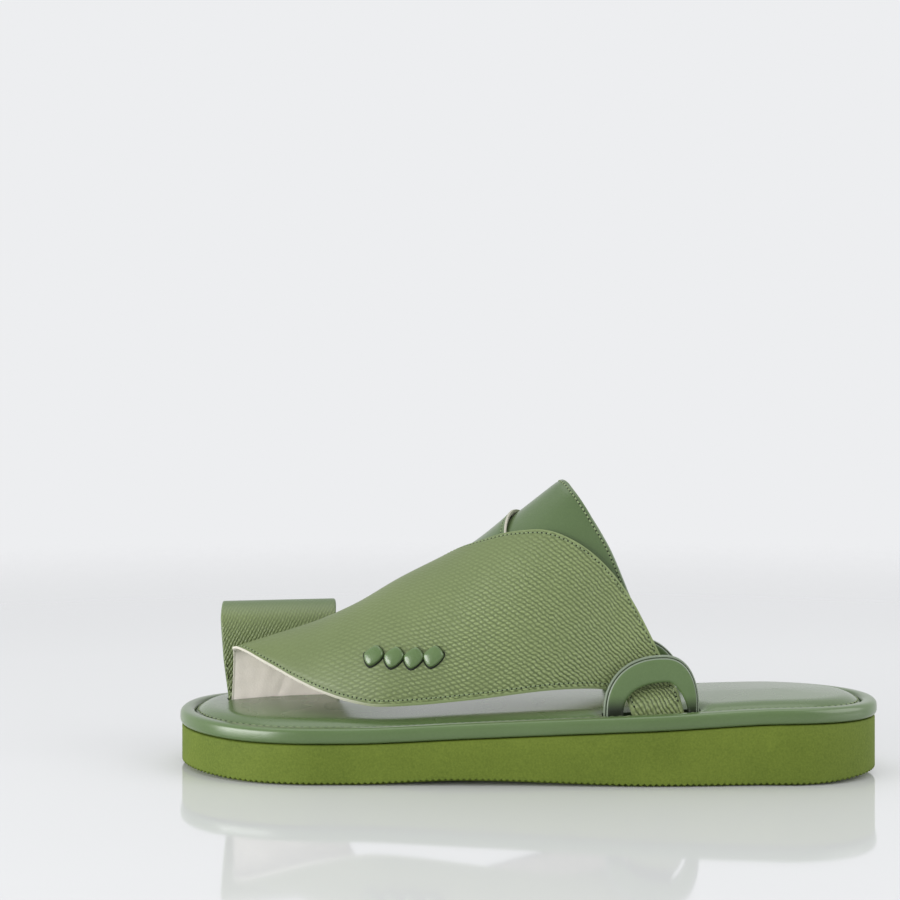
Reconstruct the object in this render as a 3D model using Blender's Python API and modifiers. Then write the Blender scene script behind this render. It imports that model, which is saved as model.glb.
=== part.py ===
"""Leather toe-loop sandal for the left foot.

The frame is the sandal's own: X runs to the toe, Y to the outer side of the foot, Z up, with the floor at
zero and the middle of the sole's length at the origin. Sizes are millimetres and become metres as a mesh is
made. The straps are sheets laid on one last, whose half-elliptical sections stand across the foot.
"""
import math

import bmesh
import bpy
from mathutils import Matrix, Vector

MM = 0.001
GAP = 0.3                    # clearance between pieces that meet

# Sole
LENGTH = 290.0
HEEL_START_X = -97.0         # behind this the outline is the round heel
BALL_X = 83.0                # in front of this it is the round toe
END_FULLNESS = 2.2           # exponent of the round ends, 2 is an ellipse
TOE_SWING = 4.5              # the toe's tip lies this far towards the inner side
SOLE_STATIONS = 44
SOLE_EDGE_RADIUS = 2.0
BREADTH_COLUMNS = ("x", "outer", "inner")
BREADTHS = (
    (HEEL_START_X, 36.5, 36.0),
    (-47.0, 42.3, 38.0),
    (-2.0, 43.5, 38.8),
    (43.0, 46.0, 44.6),
    (BALL_X, 48.75, 48.75),
)
SOLE_COLUMNS = ("x", "bottom", "top")
SOLE_LEVELS = (
    (-145.0, 2.4, 23.6),
    (-112.0, 0.0, 23.8),
    (-52.0, 0.0, 21.3),
    (23.0, 1.6, 17.8),
    (68.0, 0.0, 15.9),
    (102.0, 0.0, 15.8),
    (145.0, 1.4, 16.8),
)

# Footbed and its rolled rim
RIM_DIAMETER = 6.3
RIM_OVERHANG = 0.8
FOOTBED_EDGE = 4.6           # height of the footbed at its edge
FOOTBED_CROWN = 8.7          # height of the padding well inside
FOOTBED_RAMP = 12.0          # distance from the edge over which the padding rises
FOOTBED_RAMP_POWER = 2.2
FOOTBED_INSET_RING = 4.0
FOOTBED_CUT_STEP_X = 14.0
FOOTBED_CUT_STEP_Y = 12.0

# Last: each section is a half ellipse from the inner foot of the straps over the ridge to the outer foot
LAST_COLUMNS = ("x", "inner", "ridge", "outer", "height", "spread")
LAST_SECTIONS = (
    (-68.0, -20.0, 2.0, 22.2, 152.0, 4.6),
    (-52.0, -21.3, 2.0, 23.6, 143.0, 4.6),
    (-38.0, -23.0, 1.5, 25.4, 134.0, 3.6),
    (-17.0, -27.5, 1.0, 31.0, 119.5, 0.0),
    (3.0, -29.0, 0.0, 34.0, 104.0, 0.0),
    (22.0, -28.0, -1.0, 35.0, 89.5, 0.0),
    (52.0, -22.0, -2.0, 35.0, 73.5, 0.0),
    (69.0, -15.6, -1.0, 33.0, 63.5, 0.0),
    (86.0, -10.1, 0.5, 28.5, 56.0, 0.0),
    (104.0, -4.5, 4.0, 21.5, 50.3, 0.0),
    (124.5, 1.9, 8.0, 13.0, 44.0, 0.0),
)
STRAP_FOOT_RISE = 2.0 * GAP  # the strap ends stop this far above the outsole
SPREAD_TOP = 14.0            # above its foot a strap starts to spread outwards here
SPREAD_FALL = 7.0

# Straps of the upper. A turn of -1 is the inner foot of a section, 0 its ridge and 1 its outer foot.
LEATHER = 2.0
SADDLE_LIFT = 1.4            # the saddle lies on the instep band, the wing on the saddle
WING_LIFT = 2.9
ROW_STEPS = 2                # sheet rows between two rows of a strap's table
SHEET_STEPS = 11
BAND_COLUMNS = ("turn", "front", "rear")
BAND_ROWS = (
    (-0.82, -32.0, -50.5),
    (-0.70, -20.0, -43.0),
    (-0.57, -6.0, -36.0),
    (-0.42, 8.0, -27.9),
    (-0.20, 20.0, -19.9),
    (0.00, 24.0, -16.6),
    (0.20, 20.0, -19.9),
    (0.42, 8.0, -27.9),
    (0.57, -6.0, -36.0),
    (0.70, -20.0, -43.0),
    (0.82, -32.0, -50.5),
)
SADDLE_COLUMNS = ("turn", "front", "rear")
SADDLE_ROWS = (
    (-1.00, -46.0, -65.4),
    (-0.96, -44.4, -64.0),
    (-0.92, -38.0, -61.5),
    (-0.87, -22.0, -55.5),
    (-0.80, -2.0, -45.0),
    (-0.70, 18.0, -31.0),
    (-0.55, 37.0, -17.5),
    (-0.36, 58.0, -7.0),
    (-0.18, 55.0, -1.3),
    (0.00, 48.0, 2.4),
    (0.25, 36.0, 5.8),
    (0.50, 22.0, 2.4),
    (0.70, 8.0, -8.0),
    (0.80, 0.0, -14.0),
)
WING_COLUMNS = ("upper", "upper_turn", "lower", "lower_turn")
WING_ROWS = (
    (124.0, -1.00, 121.1, -0.03),
    (117.8, -1.00, 115.6, 0.185),
    (110.0, -1.00, 108.3, 0.383),
    (101.0, -1.00, 98.6, 0.545),
    (92.0, -1.00, 89.4, 0.655),
    (85.5, -1.00, 80.5, 0.734),
    (74.0, -0.63, 68.0, 0.811),
    (58.0, -0.36, 55.9, 0.853),
    (44.0, -0.16, 40.0, 0.868),
    (30.0, -0.03, 24.0, 0.874),
    (16.1, 0.150, 8.4, 0.880),
    (2.0, 0.284, -5.0, 0.885),
    (-10.3, 0.384, -16.0, 0.892),
    (-20.0, 0.476, -25.0, 0.900),
    (-31.5, 0.589, -32.0, 0.909),
    (-42.0, 0.698, -37.5, 0.922),
    (-51.3, 0.811, -41.4, 0.941),
    (-60.3, 0.923, -44.4, 0.975),
    (-65.4, 1.00, -46.0, 1.00),
)

# Toe loop, in a frame of its own that is turned to run along the big toe
TOE_PLACE = (106.0, -21.15)
TOE_ANGLE = math.radians(17.4)
TOE_LEATHER = 2.2
TOE_ROW_STEPS = 3            # sheet rows between two rows of the table
TOE_SHEET_STEPS = 6
TOE_COLUMNS = ("y", "z", "front", "rear")
TOE_ROWS = (
    (-11.1, 17.4, 17.5, -18.0),
    (-11.4, 26.0, 18.0, -18.5),
    (-15.5, 42.0, 21.8, -21.5),
    (-12.5, 57.0, 24.5, -23.0),
    (-1.5, 65.0, 26.2, -23.5),
    (8.5, 58.5, 27.8, -22.0),
    (11.1, 44.0, 27.0, -19.0),
    (11.1, 26.0, 24.8, -16.5),
    (11.1, 17.4, 24.2, -15.5),
)

# Side loops: rounded tabs with a window for the strap
SIDE_LOOP_THICKNESS = 2.6
SIDE_LOOP_BASE_Z = 27.0      # level of the arches' bases, near the footbed's surface
SIDE_LOOP_FOOT_Z = 22.8
SIDE_LOOP_ARC_STEPS = 24
ARCH_COLUMNS = ("half_width", "height", "shift", "lean", "front_fullness", "rear_fullness")
SIDE_LOOPS = {               # place, turn, outline and window
    "side_loop_outer": (-51.8, 31.3, math.radians(5.0), (19.1, 23.3, 0.0, -4.8, 2.25, 2.45),
                        (13.0, 12.6, -1.8, -5.1, 2.3, 1.6)),
    "side_loop_inner": (-52.3, -27.3, math.radians(-5.0), (18.3, 22.8, 0.0, 0.0, 2.3, 1.8),
                        (12.7, 12.8, -1.5, 0.0, 2.3, 3.0)),
}

# Slits in the footbed
SLIT_TOP_Z = 40.0
SLIT_HEIGHT = 30.0
SIDE_SLIT_WIDTH = 5.4
SIDE_SLIT_SHIFT = 0.7        # the slit reaches inwards, where the strap lies
SIDE_SLIT_LENGTH = 39.2
POST_SLIT_LENGTH = 48.0
POST_SLIT_X = 1.2
TOE_SLIT_LENGTH = 37.5
TOE_SLIT_WIDTH = TOE_LEATHER + 3.0 * GAP
POST_SLIT_SLACK = 0.9        # extra width on the wing's side, whose foot is slightly curved

# Woven thong: four diamonds in a row on the wing
DIAMOND_COUNT = 4
DIAMOND_FIRST = (58.3, 0.608)   # place along the foot and turn on the last
DIAMOND_LAST = (34.5, 0.688)
DIAMOND_SAG = 0.054             # of the row between them, as turn
DIAMOND_HALF_WIDTH = 4.1
DIAMOND_TOP_SHARE = 0.5
DIAMOND_THICKNESS = 2.2
DIAMOND_BEVEL = 0.3

# Colours (linear) and roughness of the materials
FOAM_GREEN = (0.150, 0.210, 0.022)
LEATHER_GREEN = (0.105, 0.185, 0.075)
GRAIN_GREEN = (0.140, 0.205, 0.070)
FOAM_ROUGHNESS = 0.80
LEATHER_ROUGHNESS = 0.38
GRAIN_ROUGHNESS = 0.50
SHARP_ANGLE = math.radians(35.0)


def ease(value):
    """Smooth step from 0 to 1."""
    share = min(max(value, 0.0), 1.0)
    return share * share * (3.0 - 2.0 * share)


def smooth(places, values, place):
    """Monotone cubic through the values at the given places."""
    spans = [b - a for a, b in zip(places, places[1:])]
    rates = [(b - a) / span for a, b, span in zip(values, values[1:], spans)]
    slopes = [rates[0]]
    for left, right in zip(range(len(rates) - 1), range(1, len(rates))):
        if rates[left] * rates[right] <= 0.0:
            slopes.append(0.0)
            continue
        left_weight = 2.0 * spans[right] + spans[left]
        right_weight = spans[right] + 2.0 * spans[left]
        slopes.append((left_weight + right_weight) / (left_weight / rates[left] + right_weight / rates[right]))
    slopes.append(rates[-1])
    place = min(max(place, places[0]), places[-1])
    row = max(i for i in range(len(spans)) if places[i] <= place)
    u = (place - places[row]) / spans[row]
    start = (1.0 + 2.0 * u) * (1.0 - u) ** 2 * values[row] + u * (1.0 - u) ** 2 * spans[row] * slopes[row]
    end = u * u * (3.0 - 2.0 * u) * values[row + 1] + u * u * (u - 1.0) * spans[row] * slopes[row + 1]
    return start + end


def column(rows, columns, name):
    return [row[columns.index(name)] for row in rows]


def lookup(rows, columns, name, place):
    """Value of a named column at a place along the table's first column."""
    return smooth(column(rows, columns, columns[0]), column(rows, columns, name), place)


def along_rows(rows, columns, step, steps):
    """All columns of a table, as a dictionary, at step / steps of the way through its rows."""
    numbers = [float(i) for i in range(len(rows))]
    place = numbers[-1] * step / steps
    return {name: smooth(numbers, column(rows, columns, name), place) for name in columns}


def mix(start, end, share):
    return start + (end - start) * share


# Sole and last

def half_breadth(x, side):
    """Half breadth of the sole on its outer or inner side."""
    tip = 0.5 * LENGTH
    if x > BALL_X:
        share = (x - BALL_X) / (tip - BALL_X)
    elif x < HEEL_START_X:
        share = (HEEL_START_X - x) / (tip + HEEL_START_X)
    else:
        share = 0.0
    full = lookup(BREADTHS, BREADTH_COLUMNS, side, min(max(x, HEEL_START_X), BALL_X))
    return full * max(0.0, 1.0 - share ** END_FULLNESS) ** (1.0 / END_FULLNESS)


def toe_swing(x):
    """Shift of the toe's middle line towards the inner side."""
    share = max(0.0, x - BALL_X) / (0.5 * LENGTH - BALL_X)
    return -TOE_SWING * share * share


def sole_outline(inset):
    """Closed outline of the sole seen from above, drawn in by an inset along its normals."""
    stations = [-0.5 * LENGTH * math.cos(math.pi * i / SOLE_STATIONS) for i in range(SOLE_STATIONS + 1)]
    inner = [(x, toe_swing(x) - half_breadth(x, "inner")) for x in stations]
    outer = [(x, toe_swing(x) + half_breadth(x, "outer")) for x in reversed(stations[1:-1])]
    ring = [Vector(point) for point in inner + outer]
    drawn = []
    for i, point in enumerate(ring):
        along = (ring[(i + 1) % len(ring)] - ring[i - 1]).normalized()
        drawn.append(point + inset * Vector((-along.y, along.x)))
    return drawn


def sole_bottom(x):
    return lookup(SOLE_LEVELS, SOLE_COLUMNS, "bottom", x)


def sole_top(x):
    return lookup(SOLE_LEVELS, SOLE_COLUMNS, "top", x)


def bare_last(x, turn):
    """Point on the last's section at x, a turn of -1 to 1 round it."""
    angle = 0.5 * math.pi * turn
    foot = sole_top(x) + STRAP_FOOT_RISE
    side = lookup(LAST_SECTIONS, LAST_COLUMNS, "outer" if turn > 0.0 else "inner", x)
    ridge = lookup(LAST_SECTIONS, LAST_COLUMNS, "ridge", x)
    height = lookup(LAST_SECTIONS, LAST_COLUMNS, "height", x)
    z = foot + (height - foot) * math.cos(angle)
    spread = lookup(LAST_SECTIONS, LAST_COLUMNS, "spread", x) * ease((foot + SPREAD_TOP - z) / SPREAD_FALL)
    y = ridge + (side - ridge) * abs(math.sin(angle)) + math.copysign(spread, turn)
    return Vector((x, y, z))


def last_normal(x, turn):
    """Outward normal of the last."""
    along = bare_last(x + 0.2, turn) - bare_last(x - 0.2, turn)
    across = bare_last(x, turn + 0.01) - bare_last(x, turn - 0.01)
    return along.cross(across).normalized()


def last_point(x, turn, lift):
    return bare_last(x, turn) + lift * last_normal(x, turn)


# Making objects

def clear_scene():
    for item in list(bpy.data.objects):
        bpy.data.objects.remove(item, do_unlink=True)


def new_collection(name):
    made = bpy.data.collections.new(name)
    bpy.context.scene.collection.children.link(made)
    return made


def new_material(name, colour, roughness):
    made = bpy.data.materials.new(name)
    made.use_nodes = True
    shader = made.node_tree.nodes["Principled BSDF"]
    shader.inputs["Base Color"].default_value = (*colour, 1.0)
    shader.inputs["Roughness"].default_value = roughness
    shader.inputs["Metallic"].default_value = 0.0
    return made


def new_object(name, data, collection, material):
    data.materials.append(material)
    made = bpy.data.objects.new(name, data)
    collection.objects.link(made)
    return made


def mesh_object(name, bm, collection, material):
    """Object from a bmesh, shaded smooth apart from its sharp edges."""
    mesh = bpy.data.meshes.new(name)
    bm.to_mesh(mesh)
    bm.free()
    mesh.shade_smooth()
    mesh.set_sharp_from_angle(angle=SHARP_ANGLE)
    return new_object(name, mesh, collection, material)


def make_cutter(item):
    item.hide_render = True
    item.display_type = "WIRE"


def add_boolean(item, operation, tool):
    modifier = item.modifiers.new(f"{operation.lower()} {tool.name}", "BOOLEAN")
    modifier.operation = operation
    modifier.solver = "EXACT"
    modifier.object = tool


def slab(outline):
    """Slab of unit height over an outline."""
    bm = bmesh.new()
    ring = [bm.verts.new((point.x * MM, point.y * MM, 0.0)) for point in outline]
    base = bm.faces.new(ring)
    raised = bmesh.ops.extrude_face_region(bm, geom=[base], use_keep_orig=True)["geom"]
    bmesh.ops.translate(bm, vec=(0.0, 0.0, 1.0), verts=[v for v in raised if isinstance(v, bmesh.types.BMVert)])
    bmesh.ops.recalc_face_normals(bm, faces=bm.faces[:])
    return bm


def cut_across(bm, axis, places):
    """Cut faces along planes square to X (axis 0) or Y (axis 1)."""
    for place in places:
        spot = [0.0, 0.0, 0.0]
        spot[axis] = place * MM
        normal = [0.0, 0.0, 0.0]
        normal[axis] = 1.0
        geometry = bm.verts[:] + bm.edges[:] + bm.faces[:]
        bmesh.ops.bisect_plane(bm, geom=geometry, dist=1e-6, plane_co=spot, plane_no=normal)


def sheet(name, grid, thickness, collection, material):
    """Leather sheet through a grid of points, given its thickness on both sides."""
    bm = bmesh.new()
    rows = [[bm.verts.new(point * MM) for point in row] for row in grid]
    for near, far in zip(rows, rows[1:]):
        for i in range(len(near) - 1):
            bm.faces.new((near[i], near[i + 1], far[i + 1], far[i]))
    made = mesh_object(name, bm, collection, material)
    wall = made.modifiers.new("leather", "SOLIDIFY")
    wall.thickness = thickness * MM
    wall.offset = 0.0
    wall.use_even_offset = True
    return made


# Sub-parts

def build_outsole(collection, material):
    bm = slab(sole_outline(0.0))
    stations = [0.5 * LENGTH * math.cos(math.pi * i / SOLE_STATIONS) for i in range(1, SOLE_STATIONS)]
    cut_across(bm, 0, stations)
    for vert in bm.verts:
        x = vert.co.x / MM
        vert.co.z = mix(sole_bottom(x), sole_top(x), vert.co.z) * MM
    bm.normal_update()
    tread = {face for face in bm.faces if face.normal.z < -0.7}
    rim = [edge for edge in bm.edges if len(tread.intersection(edge.link_faces)) == 1]
    bmesh.ops.bevel(bm, geom=rim, offset=SOLE_EDGE_RADIUS * MM, segments=2, profile=0.5, affect="EDGES")
    return mesh_object("outsole", bm, collection, material)


def build_rim(collection, material):
    radius = 0.5 * RIM_DIAMETER
    curve = bpy.data.curves.new("footbed_rim", "CURVE")
    curve.dimensions = "3D"
    curve.twist_mode = "Z_UP"
    curve.bevel_depth = radius * MM
    curve.bevel_resolution = 3
    route = sole_outline(radius - RIM_OVERHANG)
    spline = curve.splines.new("POLY")
    spline.points.add(len(route) - 1)
    for spot, point in zip(spline.points, route):
        spot.co = (point.x * MM, point.y * MM, (sole_top(point.x) + GAP + radius) * MM, 1.0)
    spline.use_cyclic_u = True
    spline.use_smooth = True
    return new_object("footbed_rim", curve, collection, material)


def footbed_height(spot, edge):
    """Height of the padding over the outsole, rising from the footbed's edge inwards."""
    inside = min((spot - point).length for point in edge)
    share = 1.0 - (1.0 - min(inside / FOOTBED_RAMP, 1.0)) ** FOOTBED_RAMP_POWER
    return mix(FOOTBED_EDGE, FOOTBED_CROWN, share)


def build_footbed(collection, material, cutters):
    edge = sole_outline(RIM_DIAMETER - RIM_OVERHANG + GAP)
    bm = slab(edge)
    bm.normal_update()
    top = [face for face in bm.faces if face.normal.z > 0.5]
    bmesh.ops.inset_region(bm, faces=top, thickness=FOOTBED_INSET_RING * MM, use_even_offset=True)
    reach_x = int(0.5 * LENGTH / FOOTBED_CUT_STEP_X)
    cut_across(bm, 0, [FOOTBED_CUT_STEP_X * i for i in range(-reach_x, reach_x + 1)])
    reach_y = int(max(point.y for point in edge) / FOOTBED_CUT_STEP_Y)
    cut_across(bm, 1, [FOOTBED_CUT_STEP_Y * i for i in range(-reach_y, reach_y + 1)])
    for vert in bm.verts:
        spot = Vector((vert.co.x, vert.co.y)) / MM
        height = footbed_height(spot, edge) if vert.co.z > 0.5 else 0.0
        vert.co.z = (sole_top(spot.x) + GAP + height) * MM
    made = mesh_object("footbed", bm, collection, material)
    for cutter in cutters:
        add_boolean(made, "DIFFERENCE", cutter)
    return made


def build_slit(name, place, angle, length, width, collection, material):
    """Upright box that cuts a strap's slit through the footbed."""
    bm = bmesh.new()
    bmesh.ops.create_cube(bm, size=1.0)
    bmesh.ops.scale(bm, vec=(length * MM, width * MM, SLIT_HEIGHT * MM), verts=bm.verts[:])
    made = mesh_object(name, bm, collection, material)
    made.location = Vector((place[0], place[1], SLIT_TOP_Z - 0.5 * SLIT_HEIGHT)) * MM
    made.rotation_euler.z = angle
    make_cutter(made)
    return made


def toe_place(x, y):
    """World place of a point of the toe loop's own frame."""
    spot = Matrix.Rotation(TOE_ANGLE, 2) @ Vector((x, y))
    return spot + Vector(TOE_PLACE)


def build_slits(collection, material):
    loop_wall = column(TOE_ROWS, TOE_COLUMNS, "y")[-1]
    post_low = loop_wall - 0.5 * TOE_LEATHER - GAP
    post_high = loop_wall + 0.5 * TOE_LEATHER + GAP + LEATHER + POST_SLIT_SLACK
    inner_wall = column(TOE_ROWS, TOE_COLUMNS, "y")[0]
    slits = [
        build_slit("post_slit", toe_place(POST_SLIT_X, 0.5 * (post_low + post_high)), TOE_ANGLE,
                   POST_SLIT_LENGTH, post_high - post_low, collection, material),
        build_slit("toe_slit", toe_place(0.0, inner_wall), TOE_ANGLE,
                   TOE_SLIT_LENGTH, TOE_SLIT_WIDTH, collection, material),
    ]
    for name, (x, y, angle, _, _) in SIDE_LOOPS.items():
        place = (x, y - math.copysign(SIDE_SLIT_SHIFT, y))
        slits.append(build_slit(f"{name}_slit", place, angle, SIDE_SLIT_LENGTH, SIDE_SLIT_WIDTH,
                                collection, material))
    return slits


def band_grid(rows, columns, lift):
    """Grid of a strap over the instep, a row for each turn from its front edge to its rear edge."""
    steps = ROW_STEPS * (len(rows) - 1)
    grid = []
    for step in range(steps + 1):
        row = along_rows(rows, columns, step, steps)
        stations = [mix(row["front"], row["rear"], i / SHEET_STEPS) for i in range(SHEET_STEPS + 1)]
        grid.append([last_point(x, row["turn"], lift) for x in stations])
    return grid


def wing_grid():
    """Grid of the wing, a row for each line from its upper edge to its lower edge."""
    steps = ROW_STEPS * (len(WING_ROWS) - 1)
    grid = []
    for step in range(steps + 1):
        row = along_rows(WING_ROWS, WING_COLUMNS, step, steps)
        line = []
        for i in range(SHEET_STEPS + 1):
            share = i / SHEET_STEPS
            x = mix(row["upper"], row["lower"], share)
            turn = mix(row["upper_turn"], row["lower_turn"], share)
            line.append(last_point(x, turn, WING_LIFT))
        grid.append(line)
    return grid


def build_upper(collection, tools, material):
    """The three straps over the foot, joined where they cross."""
    upper = sheet("upper", band_grid(BAND_ROWS, BAND_COLUMNS, 0.0), LEATHER, collection, material)
    saddle = sheet("saddle", band_grid(SADDLE_ROWS, SADDLE_COLUMNS, SADDLE_LIFT), LEATHER, tools, material)
    wing = sheet("wing", wing_grid(), LEATHER, tools, material)
    for strap in (saddle, wing):
        make_cutter(strap)
        add_boolean(upper, "UNION", strap)
    return upper


def build_toe_loop(collection, material):
    steps = TOE_ROW_STEPS * (len(TOE_ROWS) - 1)
    grid = []
    for step in range(steps + 1):
        row = along_rows(TOE_ROWS, TOE_COLUMNS, step, steps)
        stations = [mix(row["front"], row["rear"], i / TOE_SHEET_STEPS) for i in range(TOE_SHEET_STEPS + 1)]
        grid.append([Vector((x, row["y"], row["z"])) for x in stations])
    made = sheet("toe_loop", grid, TOE_LEATHER, collection, material)
    made.location = Vector((TOE_PLACE[0], TOE_PLACE[1], 0.0)) * MM
    made.rotation_euler.z = TOE_ANGLE
    return made


def arch(angle, shape):
    """Point of an arch on its base, its top leaning from the middle; a fullness of 2 is an ellipse."""
    row = dict(zip(ARCH_COLUMNS, shape))
    side = 1.0 if math.cos(angle) > 0.0 else -1.0
    power = 2.0 / row["front_fullness" if side > 0.0 else "rear_fullness"]
    width = row["half_width"] - side * row["lean"]
    across = row["shift"] + row["lean"] + side * width * abs(math.cos(angle)) ** power
    return across, row["height"] * abs(math.sin(angle)) ** power


def side_loop_outline(outline, opening):
    """Outline of a side loop from the side: outer arch, feet and window."""
    angles = [math.pi * i / SIDE_LOOP_ARC_STEPS for i in range(SIDE_LOOP_ARC_STEPS + 1)]
    drop = SIDE_LOOP_FOOT_Z - SIDE_LOOP_BASE_Z
    outer = [arch(angle, outline) for angle in angles]
    window = [arch(angle, opening) for angle in reversed(angles)]
    rear_foot = [(outer[-1][0], drop), (window[0][0], drop)]
    front_foot = [(window[-1][0], drop), (outer[0][0], drop)]
    return outer + rear_foot + window + front_foot


def build_side_loop(name, collection, material):
    x, y, angle, shape, opening = SIDE_LOOPS[name]
    curve = bpy.data.curves.new(name, "CURVE")
    curve.dimensions = "2D"
    curve.fill_mode = "BOTH"
    curve.extrude = 0.5 * SIDE_LOOP_THICKNESS * MM
    outline = side_loop_outline(shape, opening)
    spline = curve.splines.new("POLY")
    spline.points.add(len(outline) - 1)
    for spot, (along, rise) in zip(spline.points, outline):
        spot.co = (along * MM, rise * MM, 0.0, 1.0)
    spline.use_cyclic_u = True
    made = new_object(name, curve, collection, material)
    made.location = Vector((x, y, SIDE_LOOP_BASE_Z)) * MM
    made.rotation_euler = (0.5 * math.pi, 0.0, angle)
    return made


def build_diamonds(collection, material):
    """Puffed diamonds of the thong, each seated on the wing."""
    for i in range(DIAMOND_COUNT):
        share = i / (DIAMOND_COUNT - 1)
        x, turn = (mix(first, last, share) for first, last in zip(DIAMOND_FIRST, DIAMOND_LAST))
        turn += DIAMOND_SAG * share * (1.0 - share)
        seat = last_point(x, turn, WING_LIFT + 0.5 * LEATHER + GAP + 0.5 * DIAMOND_THICKNESS)
        out = last_normal(x, turn)
        along = out.cross(Vector((0.0, 0.0, -1.0))).normalized()
        up = out.cross(along)
        bm = bmesh.new()
        bmesh.ops.create_cone(bm, cap_ends=True, segments=4, depth=DIAMOND_THICKNESS * MM,
                              radius1=DIAMOND_HALF_WIDTH * MM,
                              radius2=DIAMOND_TOP_SHARE * DIAMOND_HALF_WIDTH * MM)
        made = mesh_object(f"thong_diamond_{i + 1}", bm, collection, material)
        turned = Matrix((along, up, out)).transposed()
        made.matrix_world = Matrix.Translation(seat * MM) @ turned.to_4x4()
        soften = made.modifiers.new("soften", "BEVEL")
        soften.width = DIAMOND_BEVEL * MM
        soften.segments = 2


def build_sandal():
    clear_scene()
    parts = new_collection("toe_loop_sandal")
    tools = new_collection("sandal_cutters")
    foam = new_material("green_foam", FOAM_GREEN, FOAM_ROUGHNESS)
    leather = new_material("smooth_green_leather", LEATHER_GREEN, LEATHER_ROUGHNESS)
    grain = new_material("grained_green_leather", GRAIN_GREEN, GRAIN_ROUGHNESS)
    build_outsole(parts, foam)
    build_rim(parts, leather)
    build_footbed(parts, leather, build_slits(tools, leather))
    build_upper(parts, tools, grain)
    build_toe_loop(parts, leather)
    for name in SIDE_LOOPS:
        build_side_loop(name, parts, leather)
    build_diamonds(parts, leather)


build_sandal()
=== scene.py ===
"""Looks of a leather toe-loop sandal for the left foot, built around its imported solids.

X runs to the toe, Y to the outer side of the foot, Z up. Sizes are millimetres and become metres as
a mesh is made. The straps are sheets laid on one last, whose half-elliptical sections stand across
the foot.
"""
import math

import bmesh
import bpy
import numpy as np
from mathutils import Matrix, Vector


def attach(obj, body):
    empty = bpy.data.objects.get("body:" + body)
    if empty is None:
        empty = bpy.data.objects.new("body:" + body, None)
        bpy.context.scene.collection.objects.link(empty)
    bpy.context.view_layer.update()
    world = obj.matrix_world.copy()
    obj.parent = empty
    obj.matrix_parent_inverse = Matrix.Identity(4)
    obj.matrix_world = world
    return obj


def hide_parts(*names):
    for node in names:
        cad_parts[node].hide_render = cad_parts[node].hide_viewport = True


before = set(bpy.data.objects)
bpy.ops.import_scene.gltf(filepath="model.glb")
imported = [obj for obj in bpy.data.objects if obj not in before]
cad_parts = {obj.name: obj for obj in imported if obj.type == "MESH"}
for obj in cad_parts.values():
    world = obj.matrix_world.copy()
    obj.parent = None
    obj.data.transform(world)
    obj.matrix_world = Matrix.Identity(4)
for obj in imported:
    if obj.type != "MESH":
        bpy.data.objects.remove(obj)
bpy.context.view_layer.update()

MM = 0.001
MERGE_DISTANCE = 0.001
AHEAD_STEP = 0.3  # steps to both sides that find a seam's direction
TINY = 1e-6
ROOT = "root"
FLAT_MAP = "flat"  # UV map that holds millimetres on the flat leather

# Sole
LENGTH = 290.0
HEEL_START_X = -97.0
BALL_X = 83.0
END_FULLNESS = 2.2
TOE_SWING = 4.5
SPINE_REAR_X = -104.0  # the rings of a sole's faces close on a line between these two places
SPINE_FRONT_X = 92.0
BREADTH_COLUMNS = ("x", "outer", "inner")
BREADTHS = (
    (HEEL_START_X, 36.5, 36.0),
    (-47.0, 42.3, 38.0),
    (-2.0, 43.5, 38.8),
    (43.0, 46.0, 44.6),
    (BALL_X, 48.75, 48.75),
)
SOLE_COLUMNS = ("x", "bottom", "top")
SOLE_LEVELS = (
    (-145.0, 2.4, 23.6),
    (-112.0, 0.0, 23.8),
    (-52.0, 0.0, 21.3),
    (23.0, 1.6, 17.8),
    (68.0, 0.0, 15.9),
    (102.0, 0.0, 15.8),
    (145.0, 1.4, 16.8),
)
SOLE_STATIONS = 560
SOLE_FILL_STEPS = 4  # rings between the middle line and the edge
SOLE_EDGE_RADIUS = 0.4
SOLE_EDGE_STEPS = 4
SOLE_WALL_SHARES = (0.33, 0.66)
SOLE_LIP_RADIUS = 0.6
SOLE_LIP = ((0.0, 1.0), (0.3, 0.3), (1.0, 0.0))  # inset and drop of its rings, in radii
TREAD_INSET = 2.4  # the tread stands on the floor this far inside the edge
TREAD_DRAFT = 0.1
TREAD_LIFT = 0.4  # and the scalloped edge hangs this far over it
TREAD_TEETH = (0.0, 0.45, 0.9, 0.45)  # cuts at the stations of one scallop
TREAD_TOP = 2.6

# Footbed and its rolled rim
SEAM_GAP = 0.3
RIM_WIDTH = 6.3
RIM_HEIGHT = 6.3
RIM_OVERHANG = 0.8
RIM_SQUARENESS = 3.0  # exponent of the rim's section, 2 is a circle
RIM_STATIONS = 240
RIM_STEPS = 28
FOOTBED_EDGE = 4.6
FOOTBED_SHOULDER = 3.0  # rise of the padding over its shoulder; its ramp leads on to its crown
FOOTBED_SHOULDER_WIDTH = 7.5
FOOTBED_SHOULDER_POWER = 2.2
FOOTBED_RAMP = 34.0
FOOTBED_RAMP_POWER = 1.6
CROWN_COLUMNS = ("x", "height")
FOOTBED_CROWNS = (
    (-145.0, 8.8),
    (40.0, 8.4),
    (92.0, 10.2),
    (145.0, 9.4),
)
FOOTBED_DENT = 2.2  # the padding is drawn down beside the side loops
FOOTBED_DENT_WIDTH = 4.5
FOOTBED_DENT_HALF_LENGTH = 25.0
FOOTBED_DENT_FADE = 8.0
FOOTBED_STATIONS = 240
FOOTBED_RINGS = (0.0, 0.25, 0.6, 1.0, 1.5, 2.1, 2.8, 3.8, 5.2, 7.0)
FOOTBED_FILL_STEPS = 16

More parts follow.
